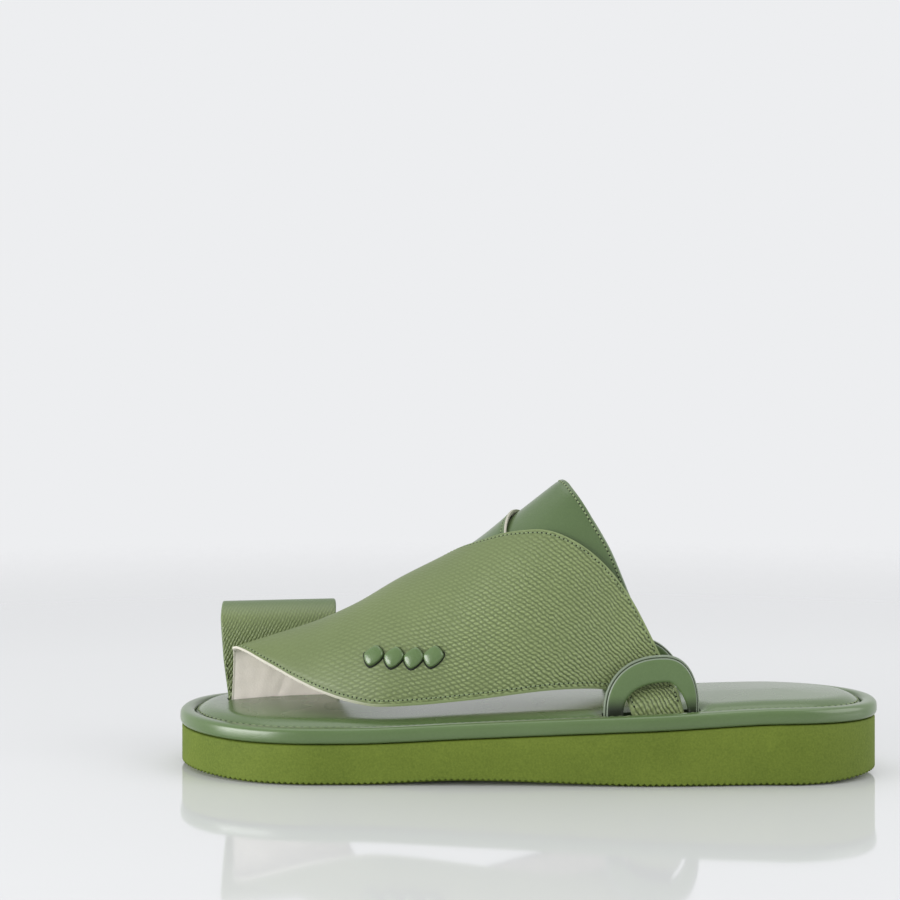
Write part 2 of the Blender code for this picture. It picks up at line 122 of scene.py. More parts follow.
# Last
STRAP_FOOT_RISE = 0.6
NORMAL_STEP, NORMAL_TURN = 0.2, 0.01  # steps to both sides that find the last's normals
SPREAD_TOP = 14.0
SPREAD_FALL = 7.0
LAST_COLUMNS = ("x", "inner", "ridge", "outer", "height", "spread")
LAST_SECTIONS = (
    (-68.0, -20.0, 2.0, 22.2, 152.0, 4.6),
    (-52.0, -21.3, 2.0, 23.6, 143.0, 4.6),
    (-38.0, -23.0, 1.5, 25.4, 134.0, 3.6),
    (-17.0, -27.5, 1.0, 31.0, 119.5, 0.0),
    (3.0, -29.0, 0.0, 34.0, 104.0, 0.0),
    (22.0, -28.0, -1.0, 35.0, 89.5, 0.0),
    (52.0, -22.0, -2.0, 35.0, 73.5, 0.0),
    (69.0, -15.6, -1.0, 33.0, 63.5, 0.0),
    (86.0, -10.1, 0.5, 28.5, 56.0, 0.0),
    (104.0, -4.5, 4.0, 21.5, 50.3, 0.0),
    (124.5, 1.9, 8.0, 13.0, 44.0, 0.0),
)

# Straps. A turn of -1 is the inner foot of a section, 0 its ridge and 1 its outer foot.
BAND_LIFT, BAND_LEATHER = -0.05, 1.9
SADDLE_LIFT, SADDLE_LEATHER = 1.7, 1.4
WING_LIFT, WING_LEATHER = 3.2, 1.4
BAND_COLUMNS = ("turn", "front", "rear")
BAND_HALF = (  # from the ridge to the outer foot, and mirrored on the inner side
    (0.00, 24.0, -16.6),
    (0.20, 20.0, -19.9),
    (0.42, 8.0, -27.9),
    (0.57, -6.0, -36.0),
    (0.70, -20.0, -43.0),
    (0.82, -32.0, -50.5),
)
BAND_ROWS = tuple((-turn, front, rear) for turn, front, rear in BAND_HALF[:0:-1]) + BAND_HALF
SADDLE_ROWS = (
    (-1.00, -46.0, -65.4),
    (-0.96, -44.4, -64.0),
    (-0.92, -38.0, -61.5),
    (-0.87, -22.0, -55.5),
    (-0.80, -2.0, -45.0),
    (-0.70, 18.0, -31.0),
    (-0.55, 37.0, -17.5),
    (-0.36, 58.0, -7.0),
    (-0.18, 55.0, -1.3),
    (0.00, 48.0, 2.4),
    (0.25, 36.0, 5.8),
    (0.50, 22.0, 2.4),
    (0.70, 8.0, -8.0),
    (0.80, 0.0, -14.0),
)
WING_COLUMNS = ("upper", "upper_turn", "lower", "lower_turn")
WING_ROWS = (
    (124.0, -1.00, 121.1, -0.03),
    (117.8, -1.00, 115.6, 0.185),
    (110.0, -1.00, 108.3, 0.383),
    (101.0, -1.00, 98.6, 0.545),
    (92.0, -1.00, 89.4, 0.655),
    (85.5, -1.00, 80.5, 0.734),
    (74.0, -0.63, 68.0, 0.811),
    (58.0, -0.36, 55.9, 0.853),
    (44.0, -0.16, 40.0, 0.868),
    (30.0, -0.03, 24.0, 0.874),
    (16.1, 0.150, 8.4, 0.880),
    (2.0, 0.284, -5.0, 0.885),
    (-10.3, 0.384, -16.0, 0.892),
    (-20.0, 0.476, -25.0, 0.900),
    (-31.5, 0.589, -32.0, 0.909),
    (-42.0, 0.698, -37.5, 0.922),
    (-51.3, 0.811, -41.4, 0.941),
    (-60.6, 0.923, -44.6, 0.975),
    (-66.0, 1.00, -46.4, 1.00),
)
BAND_SEAMS = (None, 1.1)  # from a strap's two edges to their rows of stitches
SADDLE_SEAMS = (None, 2.4)
WING_SEAMS = (1.3, 2.0)
BAND_GRID = (130, 44)
SADDLE_GRID = (170, 64)
WING_GRID = (240, 84)
WING_TIP_STRIP = 0.12  # rows of the table that the pale strip down the wing's front end takes
EDGE_ROUND = 0.22
EDGE_SEGMENTS = 3
EDGE_ANGLE = math.radians(55.0)  # edges sharper than this are rounded
SHARP_ANGLE = math.radians(40.0)  # edges sharper than this aren't shaded smooth
SADDLE_CURL = 1.0  # the saddle's rear edge stands off the band beside the ridge
SADDLE_CURL_REACH = 4.0
SADDLE_CURL_TURN = 0.08
SADDLE_CURL_SPREAD = 0.25
WING_CREASE_COLUMNS = ("x", "slant", "height", "depth", "width")
WING_CREASES = (  # soft folds in the wall between the toes; a depth below 0 is a ridge
    (117.5, 0.05, 36.0, 0.10, 2.0),
    (109.0, -0.25, 36.0, -0.12, 2.6),
    (101.5, -0.45, 34.0, 0.16, 1.8),
)
WING_CREASE_FROM, WING_CREASE_FADE = -0.05, 0.3
CUT_EDGE_WIDTH = 0.6  # the skived strip along a strap's edges, where the pale core shows
CUT_EDGE_DROP = 0.45
STITCH_GROOVE = 0.25
STITCH_GROOVE_WIDTH = 0.8

# Toe loop, in a frame of its own that is turned to run along the big toe
TOE_PLACE = (106.0, -21.15)
TOE_ANGLE = math.radians(17.4)
TOE_LEATHER = 2.0
TOE_EDGE_ROUND = 0.8
TOE_GRID = (150, 56)
TOE_COLUMNS = ("y", "z", "front", "rear")
TOE_ROWS = (
    (-11.1, 17.4, 17.5, -18.0),
    (-11.4, 26.0, 18.0, -18.5),
    (-15.5, 42.0, 21.8, -21.5),
    (-12.5, 57.0, 24.5, -23.0),
    (-1.5, 65.0, 26.2, -23.5),
    (8.5, 58.5, 27.8, -22.0),
    (11.1, 44.0, 27.0, -19.0),
    (11.1, 26.0, 24.8, -16.5),
    (11.1, 17.4, 24.2, -15.5),
)
TOE_CREASE_COLUMNS = ("from_rear", "slant", "low", "high", "depth", "width")
TOE_CREASES = (
    (5.0, 0.05, 26.0, 52.0, 0.35, 1.5),
    (9.5, 0.10, 30.0, 50.0, 0.22, 1.8),
    (14.0, 0.12, 33.0, 47.0, 0.14, 2.2),
)

# Side loops
TAB_THICKNESS = 2.6
TAB_BASE_Z = 27.0
TAB_FOOT_Z = 22.8
TAB_PAINTED_SHADE = (27.8, 35.0)  # levels between which the painted shade at the loops' feet fades out
TAB_PAINTED_SHADE_TONE = 0.12
ARCH_COLUMNS = ("half_width", "height", "shift", "lean", "front_fullness", "rear_fullness")
TAB_SECTION = (  # which edge a point is measured from, how far in, height over the face
    ("window", 0.0, -0.5), ("window", 0.5, 0.0), ("window", 1.6, 0.12), ("outer", 2.6, 0.12),
    ("outer", 1.6, 0.06), ("outer", 1.1, -0.2), ("outer", 0.95, -0.6), ("outer", 0.78, -0.6),
    ("outer", 0.68, -0.3), ("outer", 0.0, -0.6),
)
TAB_PAINT = (0, 0, 0, 0, 1, 2, 2, 1, 1, 1)  # leather, edge paint or a dark line in the step round the edge, on its strips
TAB_STEPS = 64
TAB_LEG_STEPS = 3
TABS = {  # place, turn, outline and window
    "outer": (-51.8, 31.3, math.radians(5.0), (19.1, 23.3, 0.0, -4.8, 2.25, 2.45),
              (13.0, 12.6, -1.8, -5.1, 2.3, 1.6)),
    "inner": (-52.3, -27.3, math.radians(-5.0), (18.3, 22.8, 0.0, 0.0, 2.3, 1.8),
              (12.7, 12.8, -1.5, 0.0, 2.3, 3.0)),
}

# Slits in the footbed
SLIT_TOP_Z = 40.0
SLIT_HEIGHT = 16.0
SIDE_SLIT_SIZE = (39.2, 4.0)
POST_SLIT_SIZE = (48.0, 6.0)
POST_SLIT_PLACE = (1.2, 12.5)
TOE_SLIT_SIZE = (37.5, 3.1)
TOE_SLIT_PLACE = (0.0, -11.1)

# Woven thong
DIAMOND_COUNT = 4
DIAMOND_FIRST = (58.3, 0.608)
DIAMOND_LAST = (34.5, 0.688)
DIAMOND_SAG = 0.054  # of the row between them, as turn
DIAMOND_HALF_WIDTH = 4.1
DIAMOND_TOP, DIAMOND_BOTTOM = 3.9, 4.9
DIAMOND_FULLNESS = (1.32, 1.55)  # exponents of the outline over and under its widest line
DIAMOND_LIFT = 0.5  # of its widest line over its seat
DIAMOND_LEAN = 0.20  # of its top towards the heel
DIAMOND_SWELL = (2.2, 0.4, 0.45)  # over the wing's face and under it, and their exponent
DIAMOND_SEGMENTS = (48, 24)
SHADOW_SHEET_MARGIN = 1.10  # of the dark sheet under a diamond, painted shadow of the gap round it
SHADOW_SHEET_DROP = 0.30
SHADOW_SHEET_SWELL = (0.25, 0.25, 0.3)
SHADOW_SHEET_SEGMENTS = (32, 6)
# dark discs in the slits where the thong dives through, painted shadow
THONG_SLIT_SHADOW_SIZE = (2.6, 1.3, 0.4)
THONG_SLIT_SHADOW_SEGMENTS = (16, 8)

# Stitches and the needle holes between them, the holes flat dark discs of painted shade
STITCH_PITCH = 1.9
STITCH_SIZE = (1.45, 0.72, 0.62)
STITCH_SEGMENTS = (10, 6)
STITCH_CLEARANCE = 1.0  # over the footbed, where a seam's first stitch stands
HOLE_SIZE = (0.76, 0.76, 0.12)
HOLE_SEGMENTS = (8, 4)
HOLE_LIFT = 0.03
FOOTBED_STITCH_PITCH = 3.2
FOOTBED_STITCH_SIZE = (2.5, 0.8, 0.6)
FOOTBED_STITCH_INSET = 1.0
FOOTBED_STITCH_LEAN = 0.6  # of their normals towards the rim

# Embossed grain, in millimetres on the flat leather: two families of grooves that cross
GRAIN_ROW = 1.25
GRAIN_SLANT = math.radians(53.5)
GRAIN_FAN = 0.0016  # the rows fan out towards the toe
GRAIN_CROSS_ROW = 1.75
GRAIN_CROSS_SLANT = math.radians(10.0)
GRAIN_SWERVES = ((8.0, 1.2), (1.7, 0.75))  # size and reach of the rows' slow and quick swerves
GRAIN_DEPTH = 0.00030
GROOVE_SHARPNESS = 1.5
# The grooves' strength changes between two places, from a share and by a gain. It sets their bump and
# how much darker they are painted: partly the leather's own colour, partly painted shade.
GRAIN_CROSS = (-45.0, 55.0, 0.35, 0.55)  # of the crossing grooves, towards the toe
GRAIN_DOWN = ((10.0, 50.0, 0.05, 0.78), (72.0, 88.0, 1.0, 0.5))  # down the side, to the lower edge, where the darker grooves paint the shade of light raking down the side
GRAIN_ALONG = ((12.0, 58.0, 1.0, -0.5), (60.0, 100.0, 1.0, -0.5))  # over the forefoot and the toes
TOE_GRAIN_SLANT = math.radians(-28.0)
TOE_GRAIN_CROSS_SLANT = math.radians(40.0)
TOE_GRAIN_START = 0.60  # share of the loop's girth where the grain is half in
TOE_GRAIN_FADE = 14.0
TOE_GRAIN_CROSS = 0.5

# Plain leather
PEBBLE_SIZE = 0.75
PATCH_SIZE = 30.0

# Colours, linear
# The grain's two tones: the grooves' dark is partly the leather's own colour and partly painted
# shade, the ridges' light partly painted highlight
GRAIN_RIDGE_AND_HIGHLIGHT = (0.218, 0.275, 0.108, 1.0)
GRAIN_GROOVE_AND_SHADE = (0.046, 0.071, 0.015, 1.0)
LEATHER_GREEN = (0.088, 0.140, 0.052, 1.0)
LEATHER_DEEP = (0.062, 0.106, 0.033, 1.0)
LINING_BEIGE = (0.95, 0.89, 0.82, 1.0)
LINING_SHADE = (0.88, 0.81, 0.73, 1.0)
CUT_EDGE_PALE = (0.56, 0.54, 0.46, 1.0)
CUT_EDGE_GREEN = (0.225, 0.285, 0.125, 1.0)
EDGE_PAINT_GREY = (0.19, 0.235, 0.165, 1.0)
FOAM_GREEN = (0.142, 0.190, 0.020, 1.0)
FOAM_DEEP = (0.068, 0.104, 0.006, 1.0)
THREAD_GREEN = (0.200, 0.265, 0.120, 1.0)
# dark of the needle holes and of the thong's slits and gaps: painted shade
HOLE_PAINTED_SHADE = (0.012, 0.018, 0.008, 1.0)
FLOOR_WHITE = (0.62, 0.625, 0.63, 1.0)
STUDIO_WHITE = (0.847, 0.855, 0.871, 1.0)
STUDIO_DIM = (0.56, 0.565, 0.575, 1.0)

# Floor, camera and lights
FLOOR_HALF = 2.0  # in metres, as is the fade round the middle
FLOOR_FADE = (0.5, 1.6)
FLOOR_ROUGHNESS, FLOOR_IOR = 0.06, 1.6
STUDIO_FADE = (-0.3, 0.8)  # the backdrop dims towards the front
CAMERA_PLACE = (-13.4, 630.7, 132.0)
CAMERA_TURN = math.radians(4.0)
CAMERA_LENS = 59.8
CAMERA_SENSOR = 36.0
SOFT_BOXES = {
    "toe_side": ((0.95, 0.68, 0.26), (0.9, 0.5), 13.0),
    "heel_side": ((-1.05, 0.3, 0.55), (1.0, 1.0), 8.0),
    "overhead": ((0.0, -0.1, 1.3), (1.4, 0.8), 4.0),
}
LIGHT_AIM = (0.0, 0.0, 0.05)


# Tables and curves

def smooth(places, values, at):
    """Monotone cubic through the values at the given places, read at an array of places."""
    places = np.asarray(places, float)
    values = np.asarray(values, float)
    spans = np.diff(places)
    rates = np.diff(values) / spans
    before, after = rates[:-1], rates[1:]
    turning = before * after <= 0.0
    before_weight = 2.0 * spans[1:] + spans[:-1]
    after_weight = spans[1:] + 2.0 * spans[:-1]
    before, after = (np.where(turning, 1.0, rate) for rate in (before, after))
    total = before_weight / before + after_weight / after
    middle = np.where(turning, 0.0, (before_weight + after_weight) / np.where(turning, 1.0, total))
    slopes = np.concatenate((rates[:1], middle, rates[-1:]))
    at = np.clip(at, places[0], places[-1])
    row = np.clip(np.searchsorted(places, at, side="right") - 1, 0, len(spans) - 1)
    u = (at - places[row]) / spans[row]
    start = (1.0 + 2.0 * u) * (1.0 - u) ** 2 * values[row]
    start = start + u * (1.0 - u) ** 2 * spans[row] * slopes[row]
    end = u * u * (3.0 - 2.0 * u) * values[row + 1]
    end = end + u * u * (u - 1.0) * spans[row] * slopes[row + 1]
    return start + end


def column(rows, columns, name):
    return [row[columns.index(name)] for row in rows]


def lookup(rows, columns, name, place):
    return smooth(column(rows, columns, columns[0]), column(rows, columns, name), place)


def along_rows(rows, columns, count, lead=0.0):
    """Each column of a table at even steps through its rows, after a first step if that is given."""
    numbers = np.arange(len(rows), dtype=float)
    places = np.linspace(lead, numbers[-1], count)
    if lead:
        places = np.insert(places, 0, 0.0)
    return {name: smooth(numbers, column(rows, columns, name), places) for name in columns}


def mix(start, end, share):
    return start + (end - start) * share


def ease(value):
    share = np.clip(value, 0.0, 1.0)
    return share * share * (3.0 - 2.0 * share)


def bell(value):
    return np.exp(-value ** 2)


def signed_power(value, power):
    return np.copysign(np.abs(value) ** power, value)


def turned(x, y, angle):
    c, s = math.cos(angle), math.sin(angle)
    return c * x - s * y, s * x + c * y


def unit(vectors):
    return vectors / np.linalg.norm(vectors, axis=-1, keepdims=True)


def closed(rows):
    return np.concatenate((rows, rows[:1]), axis=0)


def read_line(at, run, line):
    """Points of a line at distances along it."""
    return np.stack([np.interp(at, run, line[:, k]) for k in range(3)], axis=-1)


def run_length(points, axis):
    """Length along a grid of points from its first row or column."""
    steps = np.linalg.norm(np.diff(points, axis=axis), axis=-1)
    start = np.zeros_like(np.take(steps, [0], axis=axis))
    return np.concatenate((start, np.cumsum(steps, axis=axis)), axis=axis)


# Sole and last

def half_breadth(x, side):
    tip = 0.5 * LENGTH
    front = np.clip((x - BALL_X) / (tip - BALL_X), 0.0, 1.0)
    rear = np.clip((HEEL_START_X - x) / (tip + HEEL_START_X), 0.0, 1.0)
    full = lookup(BREADTHS, BREADTH_COLUMNS, side, np.clip(x, HEEL_START_X, BALL_X))
    return full * (1.0 - np.maximum(front, rear) ** END_FULLNESS) ** (1.0 / END_FULLNESS)


def toe_swing(x):
    share = np.clip((x - BALL_X) / (0.5 * LENGTH - BALL_X), 0.0, 1.0)
    return -TOE_SWING * share * share


def sole_bottom(x):
    return lookup(SOLE_LEVELS, SOLE_COLUMNS, "bottom", x)


def sole_top(x):
    return lookup(SOLE_LEVELS, SOLE_COLUMNS, "top", x)


def sole_path(count):
    """Closed outline of the sole, its inward normals and the middle line that its rings close on."""
    x = -0.5 * LENGTH * np.cos(np.linspace(0.0, np.pi, 20 * count))
    outer = np.column_stack((x, toe_swing(x) + half_breadth(x, "outer")))
    run = run_length(outer, 0)
    x = np.interp(np.linspace(0.0, run[-1], count), run, x)
    inner = np.column_stack((x, toe_swing(x) - half_breadth(x, "inner")))
    outer = np.column_stack((x, toe_swing(x) + half_breadth(x, "outer")))
    edge = np.vstack((inner, outer[-2:0:-1]))
    ahead = unit(np.roll(edge, -1, axis=0) - np.roll(edge, 1, axis=0))
    inward = np.column_stack((-ahead[:, 1], ahead[:, 0]))
    middle_x = np.clip(edge[:, 0], SPINE_REAR_X, SPINE_FRONT_X)
    lean = 0.5 * (half_breadth(middle_x, "outer") - half_breadth(middle_x, "inner"))
    middle = np.column_stack((middle_x, toe_swing(middle_x) + lean))
    return edge, inward, middle


def bare_last(x, turn):
    """Points on the last's sections at x, a turn of -1 to 1 round them."""
    angle = 0.5 * np.pi * turn
    foot = sole_top(x) + STRAP_FOOT_RISE
    inner, ridge, outer, height, spread = (
        lookup(LAST_SECTIONS, LAST_COLUMNS, name, x) for name in LAST_COLUMNS[1:])
    z = foot + (height - foot) * np.cos(angle)
    spread = spread * ease((foot + SPREAD_TOP - z) / SPREAD_FALL)
    side = np.where(turn > 0.0, outer, inner)
    y = ridge + (side - ridge) * np.abs(np.sin(angle)) + np.copysign(spread, turn)
    return np.stack((x, y, z), axis=-1)


def last_normal(x, turn):
    along = bare_last(x + NORMAL_STEP, turn) - bare_last(x - NORMAL_STEP, turn)
    across = bare_last(x, turn + NORMAL_TURN) - bare_last(x, turn - NORMAL_TURN)
    return unit(np.cross(along, across))


def girth_from_ridge(x, turn, steps=24):
    """Length round a section from its ridge, positive on the outer side."""
    shares = np.linspace(0.0, 1.0, steps + 1)
    points = bare_last(x[..., None] + 0.0 * shares, turn[..., None] * shares)
    return np.sign(turn) * run_length(points, x.ndim)[..., -1]


# Meshes

def grid_mesh(points, flat=None, paint=None):
    """Quads through an array of points, with a flat map and each quad's material number if given."""
    rows, columns = points.shape[:2]
    bm = bmesh.new()
    bmesh.ops.create_grid(bm, x_segments=columns - 1, y_segments=rows - 1, size=0.5)
    spot = {}
    for vert in bm.verts:
        row, place = (vert.co.y + 0.5) * (rows - 1), (vert.co.x + 0.5) * (columns - 1)
        spot[vert] = (round(row), round(place))
    if flat is not None:
        layer = bm.loops.layers.uv.new(FLAT_MAP)
        for face in bm.faces:
            for loop in face.loops:
                loop[layer].uv = flat[spot[loop.vert]]
    if paint is not None:
        for face in bm.faces:
            row, place = (min(numbers) for numbers in zip(*[spot[vert] for vert in face.verts]))
            face.material_index = paint[row][place]
    for vert in bm.verts:
        vert.co = points[spot[vert]] * MM
    return bm


def close_up(bm):
    """Merges the seam of a grid that meets itself, and turns its faces outwards."""
    bmesh.ops.remove_doubles(bm, verts=bm.verts[:], dist=MERGE_DISTANCE * MM)
    bmesh.ops.recalc_face_normals(bm, faces=bm.faces[:])
    return bm


def face_towards(bm, out):
    """Turns a sheet over if its faces look against the wanted direction at its middle."""
    bm.normal_update()
    bm.faces.ensure_lookup_table()
    if bm.faces[len(bm.faces) // 2].normal.dot(Vector(out)) < 0.0:
        bmesh.ops.reverse_faces(bm, faces=bm.faces[:])


def add_ball(bm, segments, place=Matrix()):
    return bmesh.ops.create_uvsphere(bm, u_segments=segments[0], v_segments=segments[1], radius=1.0,
                                     matrix=place)


def link(name, data):
    """Object with the given data, in the scene."""
    made = bpy.data.objects.new(name, data)
    bpy.context.scene.collection.objects.link(made)
    return made


def new_object(name, bm, materials):
    mesh = bpy.data.meshes.new(name)
    bm.to_mesh(mesh)
    bm.free()
    for material in materials:
        mesh.materials.append(material)
    return link(name, mesh)


def new_piece(name, bm, materials, stands_for=()):
    """Piece of the sandal from a bmesh, shaded smooth, riding on the sandal's one body."""
    made = new_object(name, bm, materials)
    made.data.shade_smooth()
    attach(made, ROOT)
    if stands_for:
        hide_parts(*stands_for)
    return made


def add_wall(made, thickness, edge_round, sharp_tip=False):
    """Gives a sheet its thickness: leather outside, lining inside, cut edges all round.

    The rounding is kept small at a sharp tip, where its full width would stand out as a spur.
    """
    wall = made.modifiers.new("wall", "SOLIDIFY")
    wall.thickness = thickness * MM
    wall.offset = 0.0
    wall.use_even_offset = True
    wall.material_offset = 1
    wall.material_offset_rim = 2
    soft = made.modifiers.new("soft_edge", "BEVEL")
    soft.width = edge_round * MM
    soft.segments = EDGE_SEGMENTS
    soft.limit_method = "ANGLE"
    soft.angle_limit = EDGE_ANGLE
    soft.use_clamp_overlap = sharp_tip


# Shaders

class Value:
    """A shader socket that takes part in sums."""

    def __init__(self, finish, socket):
        self.finish = finish
        self.socket = socket

    def math(self, operation, first, second):
        return self.finish.node("Math", {"operation": operation}, {0: first, 1: second})

    def __add__(self, other):
        return self.math("ADD", self, other)

    __radd__ = __add__

    def __sub__(self, other):
        return self.math("SUBTRACT", self, other)

    def __rsub__(self, other):
        return self.math("SUBTRACT", other, self)

    def __mul__(self, other):
        return self.math("MULTIPLY", self, other)

    def __pow__(self, other):
        return self.math("POWER", self, other)


class Nodes:
    """A node tree under way."""

    def __init__(self, tree):
        self.tree = tree

    def node(self, kind, settings=None, sockets=None, output=0):
        made = self.tree.nodes.new("ShaderNode" + kind)
        for setting, value in (settings or {}).items():
            setattr(made, setting, value)
        for socket, value in (sockets or {}).items():
            self.feed(made.inputs[socket], value)
        return Value(self, made.outputs[output])

    def feed(self, socket, value):
        if isinstance(value, Value):
            self.tree.links.new(value.socket, socket)
        else:
            socket.default_value = value

    def mix(self, share, first, second):
        settings = {"data_type": "RGBA", "clamp_factor": True}
        return self.node("Mix", settings, {0: share, 6: first, 7: second}, 2)

    def ramp(self, value, start, end):
        """0 before the start, 1 after the end and an eased rise between."""
        sockets = {"Value": value, "From Min": start, "From Max": end}
        return self.node("MapRange", {"interpolation_type": "SMOOTHSTEP"}, sockets)

    def fade(self, value, start, end, share, gain):
        """A share that changes by a gain between two places."""
        return self.ramp(value, start, end) * gain + share


class Finish(Nodes):
    """A material under way: a Principled shader and the nodes that feed it."""

    def __init__(self, name, **constants):
        self.material = bpy.data.materials.new(name)
        self.material.use_nodes = True
        super().__init__(self.material.node_tree)
        self.shader = self.tree.nodes["Principled BSDF"]
        self.put(**constants)

    def put(self, **sockets):
        for socket, value in sockets.items():
            self.feed(self.shader.inputs[socket.replace("_", " ")], value)

    def place(self):
        """Object coordinates in millimetres."""
        metres = self.node("TexCoord", output="Object")
        return self.node("VectorMath", {"operation": "SCALE"}, {0: metres, "Scale": 1.0 / MM})

    def flat(self):
        """The two flat coordinates of a sheet, in millimetres."""
        spot = self.node("UVMap", {"uv_map": FLAT_MAP})
        split = {"Vector": spot}
        return self.node("SeparateXYZ", {}, split, "X"), self.node("SeparateXYZ", {}, split, "Y")

    def vector(self, x, y):
        return self.node("CombineXYZ", {}, {"X": x, "Y": y})

    def noise(self, vector, size, detail=2.0):
        """Noise from 0 to 1 with features of a size in millimetres."""
        return self.node("TexNoise", {}, {"Vector": vector, "Scale": 1.0 / size, "Detail": detail})

    def cells(self, vector, size):
        """Distance from the middle of rounded cells of a size in millimetres."""
        sockets = {"Vector": vector, "Scale": 1.0 / size}
        return self.node("TexVoronoi", {"feature": "SMOOTH_F1"}, sockets)

    def pebbled(self, spot):
        """Pebbles and broad patches of plain leather, and the share of its light tone."""
        pebble = self.cells(spot, PEBBLE_SIZE)
        broad = self.noise(spot, PATCH_SIZE, 3.0)
        return pebble, broad, broad * 0.8 + pebble * 0.35 - 0.1

    def worn(self, spot):
        """How much of the emboss is left, from scale to scale."""
        return self.noise(spot, 1.5) * 1.5 + 0.25

    def wave(self, value, period):
        """Even waves from 0 to 1."""
        angle = value * (2.0 * math.pi / period)
        return self.node("Math", {"operation": "COSINE"}, {0: angle}) * 0.5 + 0.5

    def bump(self, height, depth, strength=1.0):
        sockets = {"Height": height, "Distance": depth, "Strength": strength}
        self.put(Normal=self.node("Bump", {}, sockets, "Normal"))


def scale_rows(finish, u, v, slants, fan, cross_share):
    """Relief of the embossed grain: 1 on the scales and 0 in the narrow grooves between them."""
    spot = finish.vector(u, v)
    wander, jitter = (
        (finish.noise(spot, size, 1.0) - 0.5) * reach for size, reach in GRAIN_SWERVES)
    slant, cross_slant = slants
    across = v * math.cos(slant) + u * math.sin(slant) - u * u * fan + wander + jitter
    cross = v * math.cos(cross_slant) + u * math.sin(cross_slant) + wander - jitter
    groove = finish.wave(across, GRAIN_ROW) ** GROOVE_SHARPNESS
    break_off = finish.wave(cross, GRAIN_CROSS_ROW) ** GROOVE_SHARPNESS
    return (1.0 - groove * (1.1 - cross_share * 0.3)) * (1.0 - break_off * cross_share)


def make_grained_leather():
    finish = Finish("grained_leather", Coat_Weight=0.08, Coat_Roughness=0.35)
    u, v = finish.flat()
    spot = finish.vector(u, v)
    strength = (finish.noise(spot, 11.0, 1.0) + 0.5) * finish.worn(spot)
    for value, changes in ((v, GRAIN_DOWN), (u, GRAIN_ALONG)):
        for change in changes:
            strength = strength * finish.fade(value, *change)
    slants = (GRAIN_SLANT, GRAIN_CROSS_SLANT)
    relief = scale_rows(finish, u, v, slants, GRAIN_FAN, finish.fade(u, *GRAIN_CROSS))
    pores = finish.noise(spot, 0.9)
    broad = finish.noise(spot, 38.0)
    # painted shade in the grooves and painted highlight on the ridges, growing down the side
    shade = (relief - 0.31) * strength + 0.18 + pores * 0.24 + broad * 0.2
    finish.put(Base_Color=finish.mix(shade, GRAIN_GROOVE_AND_SHADE, GRAIN_RIDGE_AND_HIGHLIGHT))
    finish.put(Roughness=0.60 - relief * 0.14)
    finish.bump(relief * strength + pores * 0.15, GRAIN_DEPTH)
    return finish.material


def make_smooth_leather(name, roughness, depth=0.00005, tone=1.0, painted_shade=None):
    """Plain leather; painted shade can darken it from one level down to another."""
    finish = Finish(name, Coat_Weight=0.30, Coat_Roughness=0.18)
    spot = finish.place()
    pebble, broad, shade = finish.pebbled(spot)
    colour = finish.mix(shade, tint(LEATHER_DEEP, tone), tint(LEATHER_GREEN, tone))
    # painted shade: darker towards the foot of a side loop, where the strap and the slit shade it
    if painted_shade:
        level = finish.node("SeparateXYZ", {}, {"Vector": spot}, "Z")
        painted_dark = tint(LEATHER_DEEP, TAB_PAINTED_SHADE_TONE)
        colour = finish.mix(finish.ramp(level, *painted_shade), painted_dark, colour)
    finish.put(Base_Color=colour, Roughness=roughness - 0.04 + broad * 0.08)
    finish.bump(pebble + finish.noise(spot, 2.6) * 0.6, depth)
    return finish.material


def make_toe_leather():
    """Smooth leather on the loop's inner half, embossed grain on the half beside the wing."""
    finish = Finish("toe_loop_leather", Coat_Weight=0.15, Coat_Roughness=0.22)
    u, v = finish.flat()
    spot = finish.place()
    pebble, broad, shade = finish.pebbled(spot)
    start = TOE_GRAIN_START * toe_flat()[-1, 0, 0]
    grained = finish.ramp(u, start - TOE_GRAIN_FADE, start + TOE_GRAIN_FADE)
    strength = grained * finish.worn(spot)
    slants = (TOE_GRAIN_SLANT, TOE_GRAIN_CROSS_SLANT)
    relief = scale_rows(finish, u, v, slants, 0.0, TOE_GRAIN_CROSS)
    # the same painted shade in the grooves and painted highlight on the ridges as on the wing
    grain_shade = (relief - 0.5) * strength * 0.6 + broad * 0.25 + 0.38
    grain_colour = finish.mix(grain_shade, GRAIN_GROOVE_AND_SHADE, GRAIN_RIDGE_AND_HIGHLIGHT)
    smooth_colour = finish.mix(shade, LEATHER_DEEP, LEATHER_GREEN)
    colour = finish.mix(grained * 2.0, smooth_colour, grain_colour)
    finish.put(Base_Color=colour, Roughness=0.36 + grained * 0.14)
    finish.bump(pebble * 0.18 * (1.0 - grained) + relief * strength, GRAIN_DEPTH)
    return finish.material


def make_lining():
    finish = Finish("lining", Specular_IOR_Level=0.3)
    spot = finish.place()
    nap = finish.noise(spot, 0.8, 3.0)
    broad = finish.noise(spot, 22.0, 3.0)
    finish.put(Base_Color=finish.mix(broad * 0.9 + nap * 0.2, LINING_SHADE, LINING_BEIGE))
    finish.put(Roughness=0.72 - nap * 0.1)
    folds = finish.noise(spot, 9.0, 1.0)
    finish.bump(nap + folds * 7.0, 0.00008)
    return finish.material


def make_cut_edge(name, core_colour, pale_from, pale_to):
    """Raw core of the leather, stained green and left pale over a length of the foot."""
    finish = Finish(name, Specular_IOR_Level=0.3)
    along, _ = finish.flat()
    fleck = finish.noise(finish.place(), 0.6)
    pale = finish.ramp(along, *pale_from) * (1.0 - finish.ramp(along, *pale_to))
    core = finish.mix(pale, CUT_EDGE_GREEN, core_colour)
    worn = finish.mix(pale, tint(CUT_EDGE_GREEN, 0.7), tint(core_colour, 0.85))
    finish.put(Base_Color=finish.mix(fleck, worn, core), Roughness=0.70 + fleck * 0.1)
    finish.bump(fleck, 0.00006)
    return finish.material


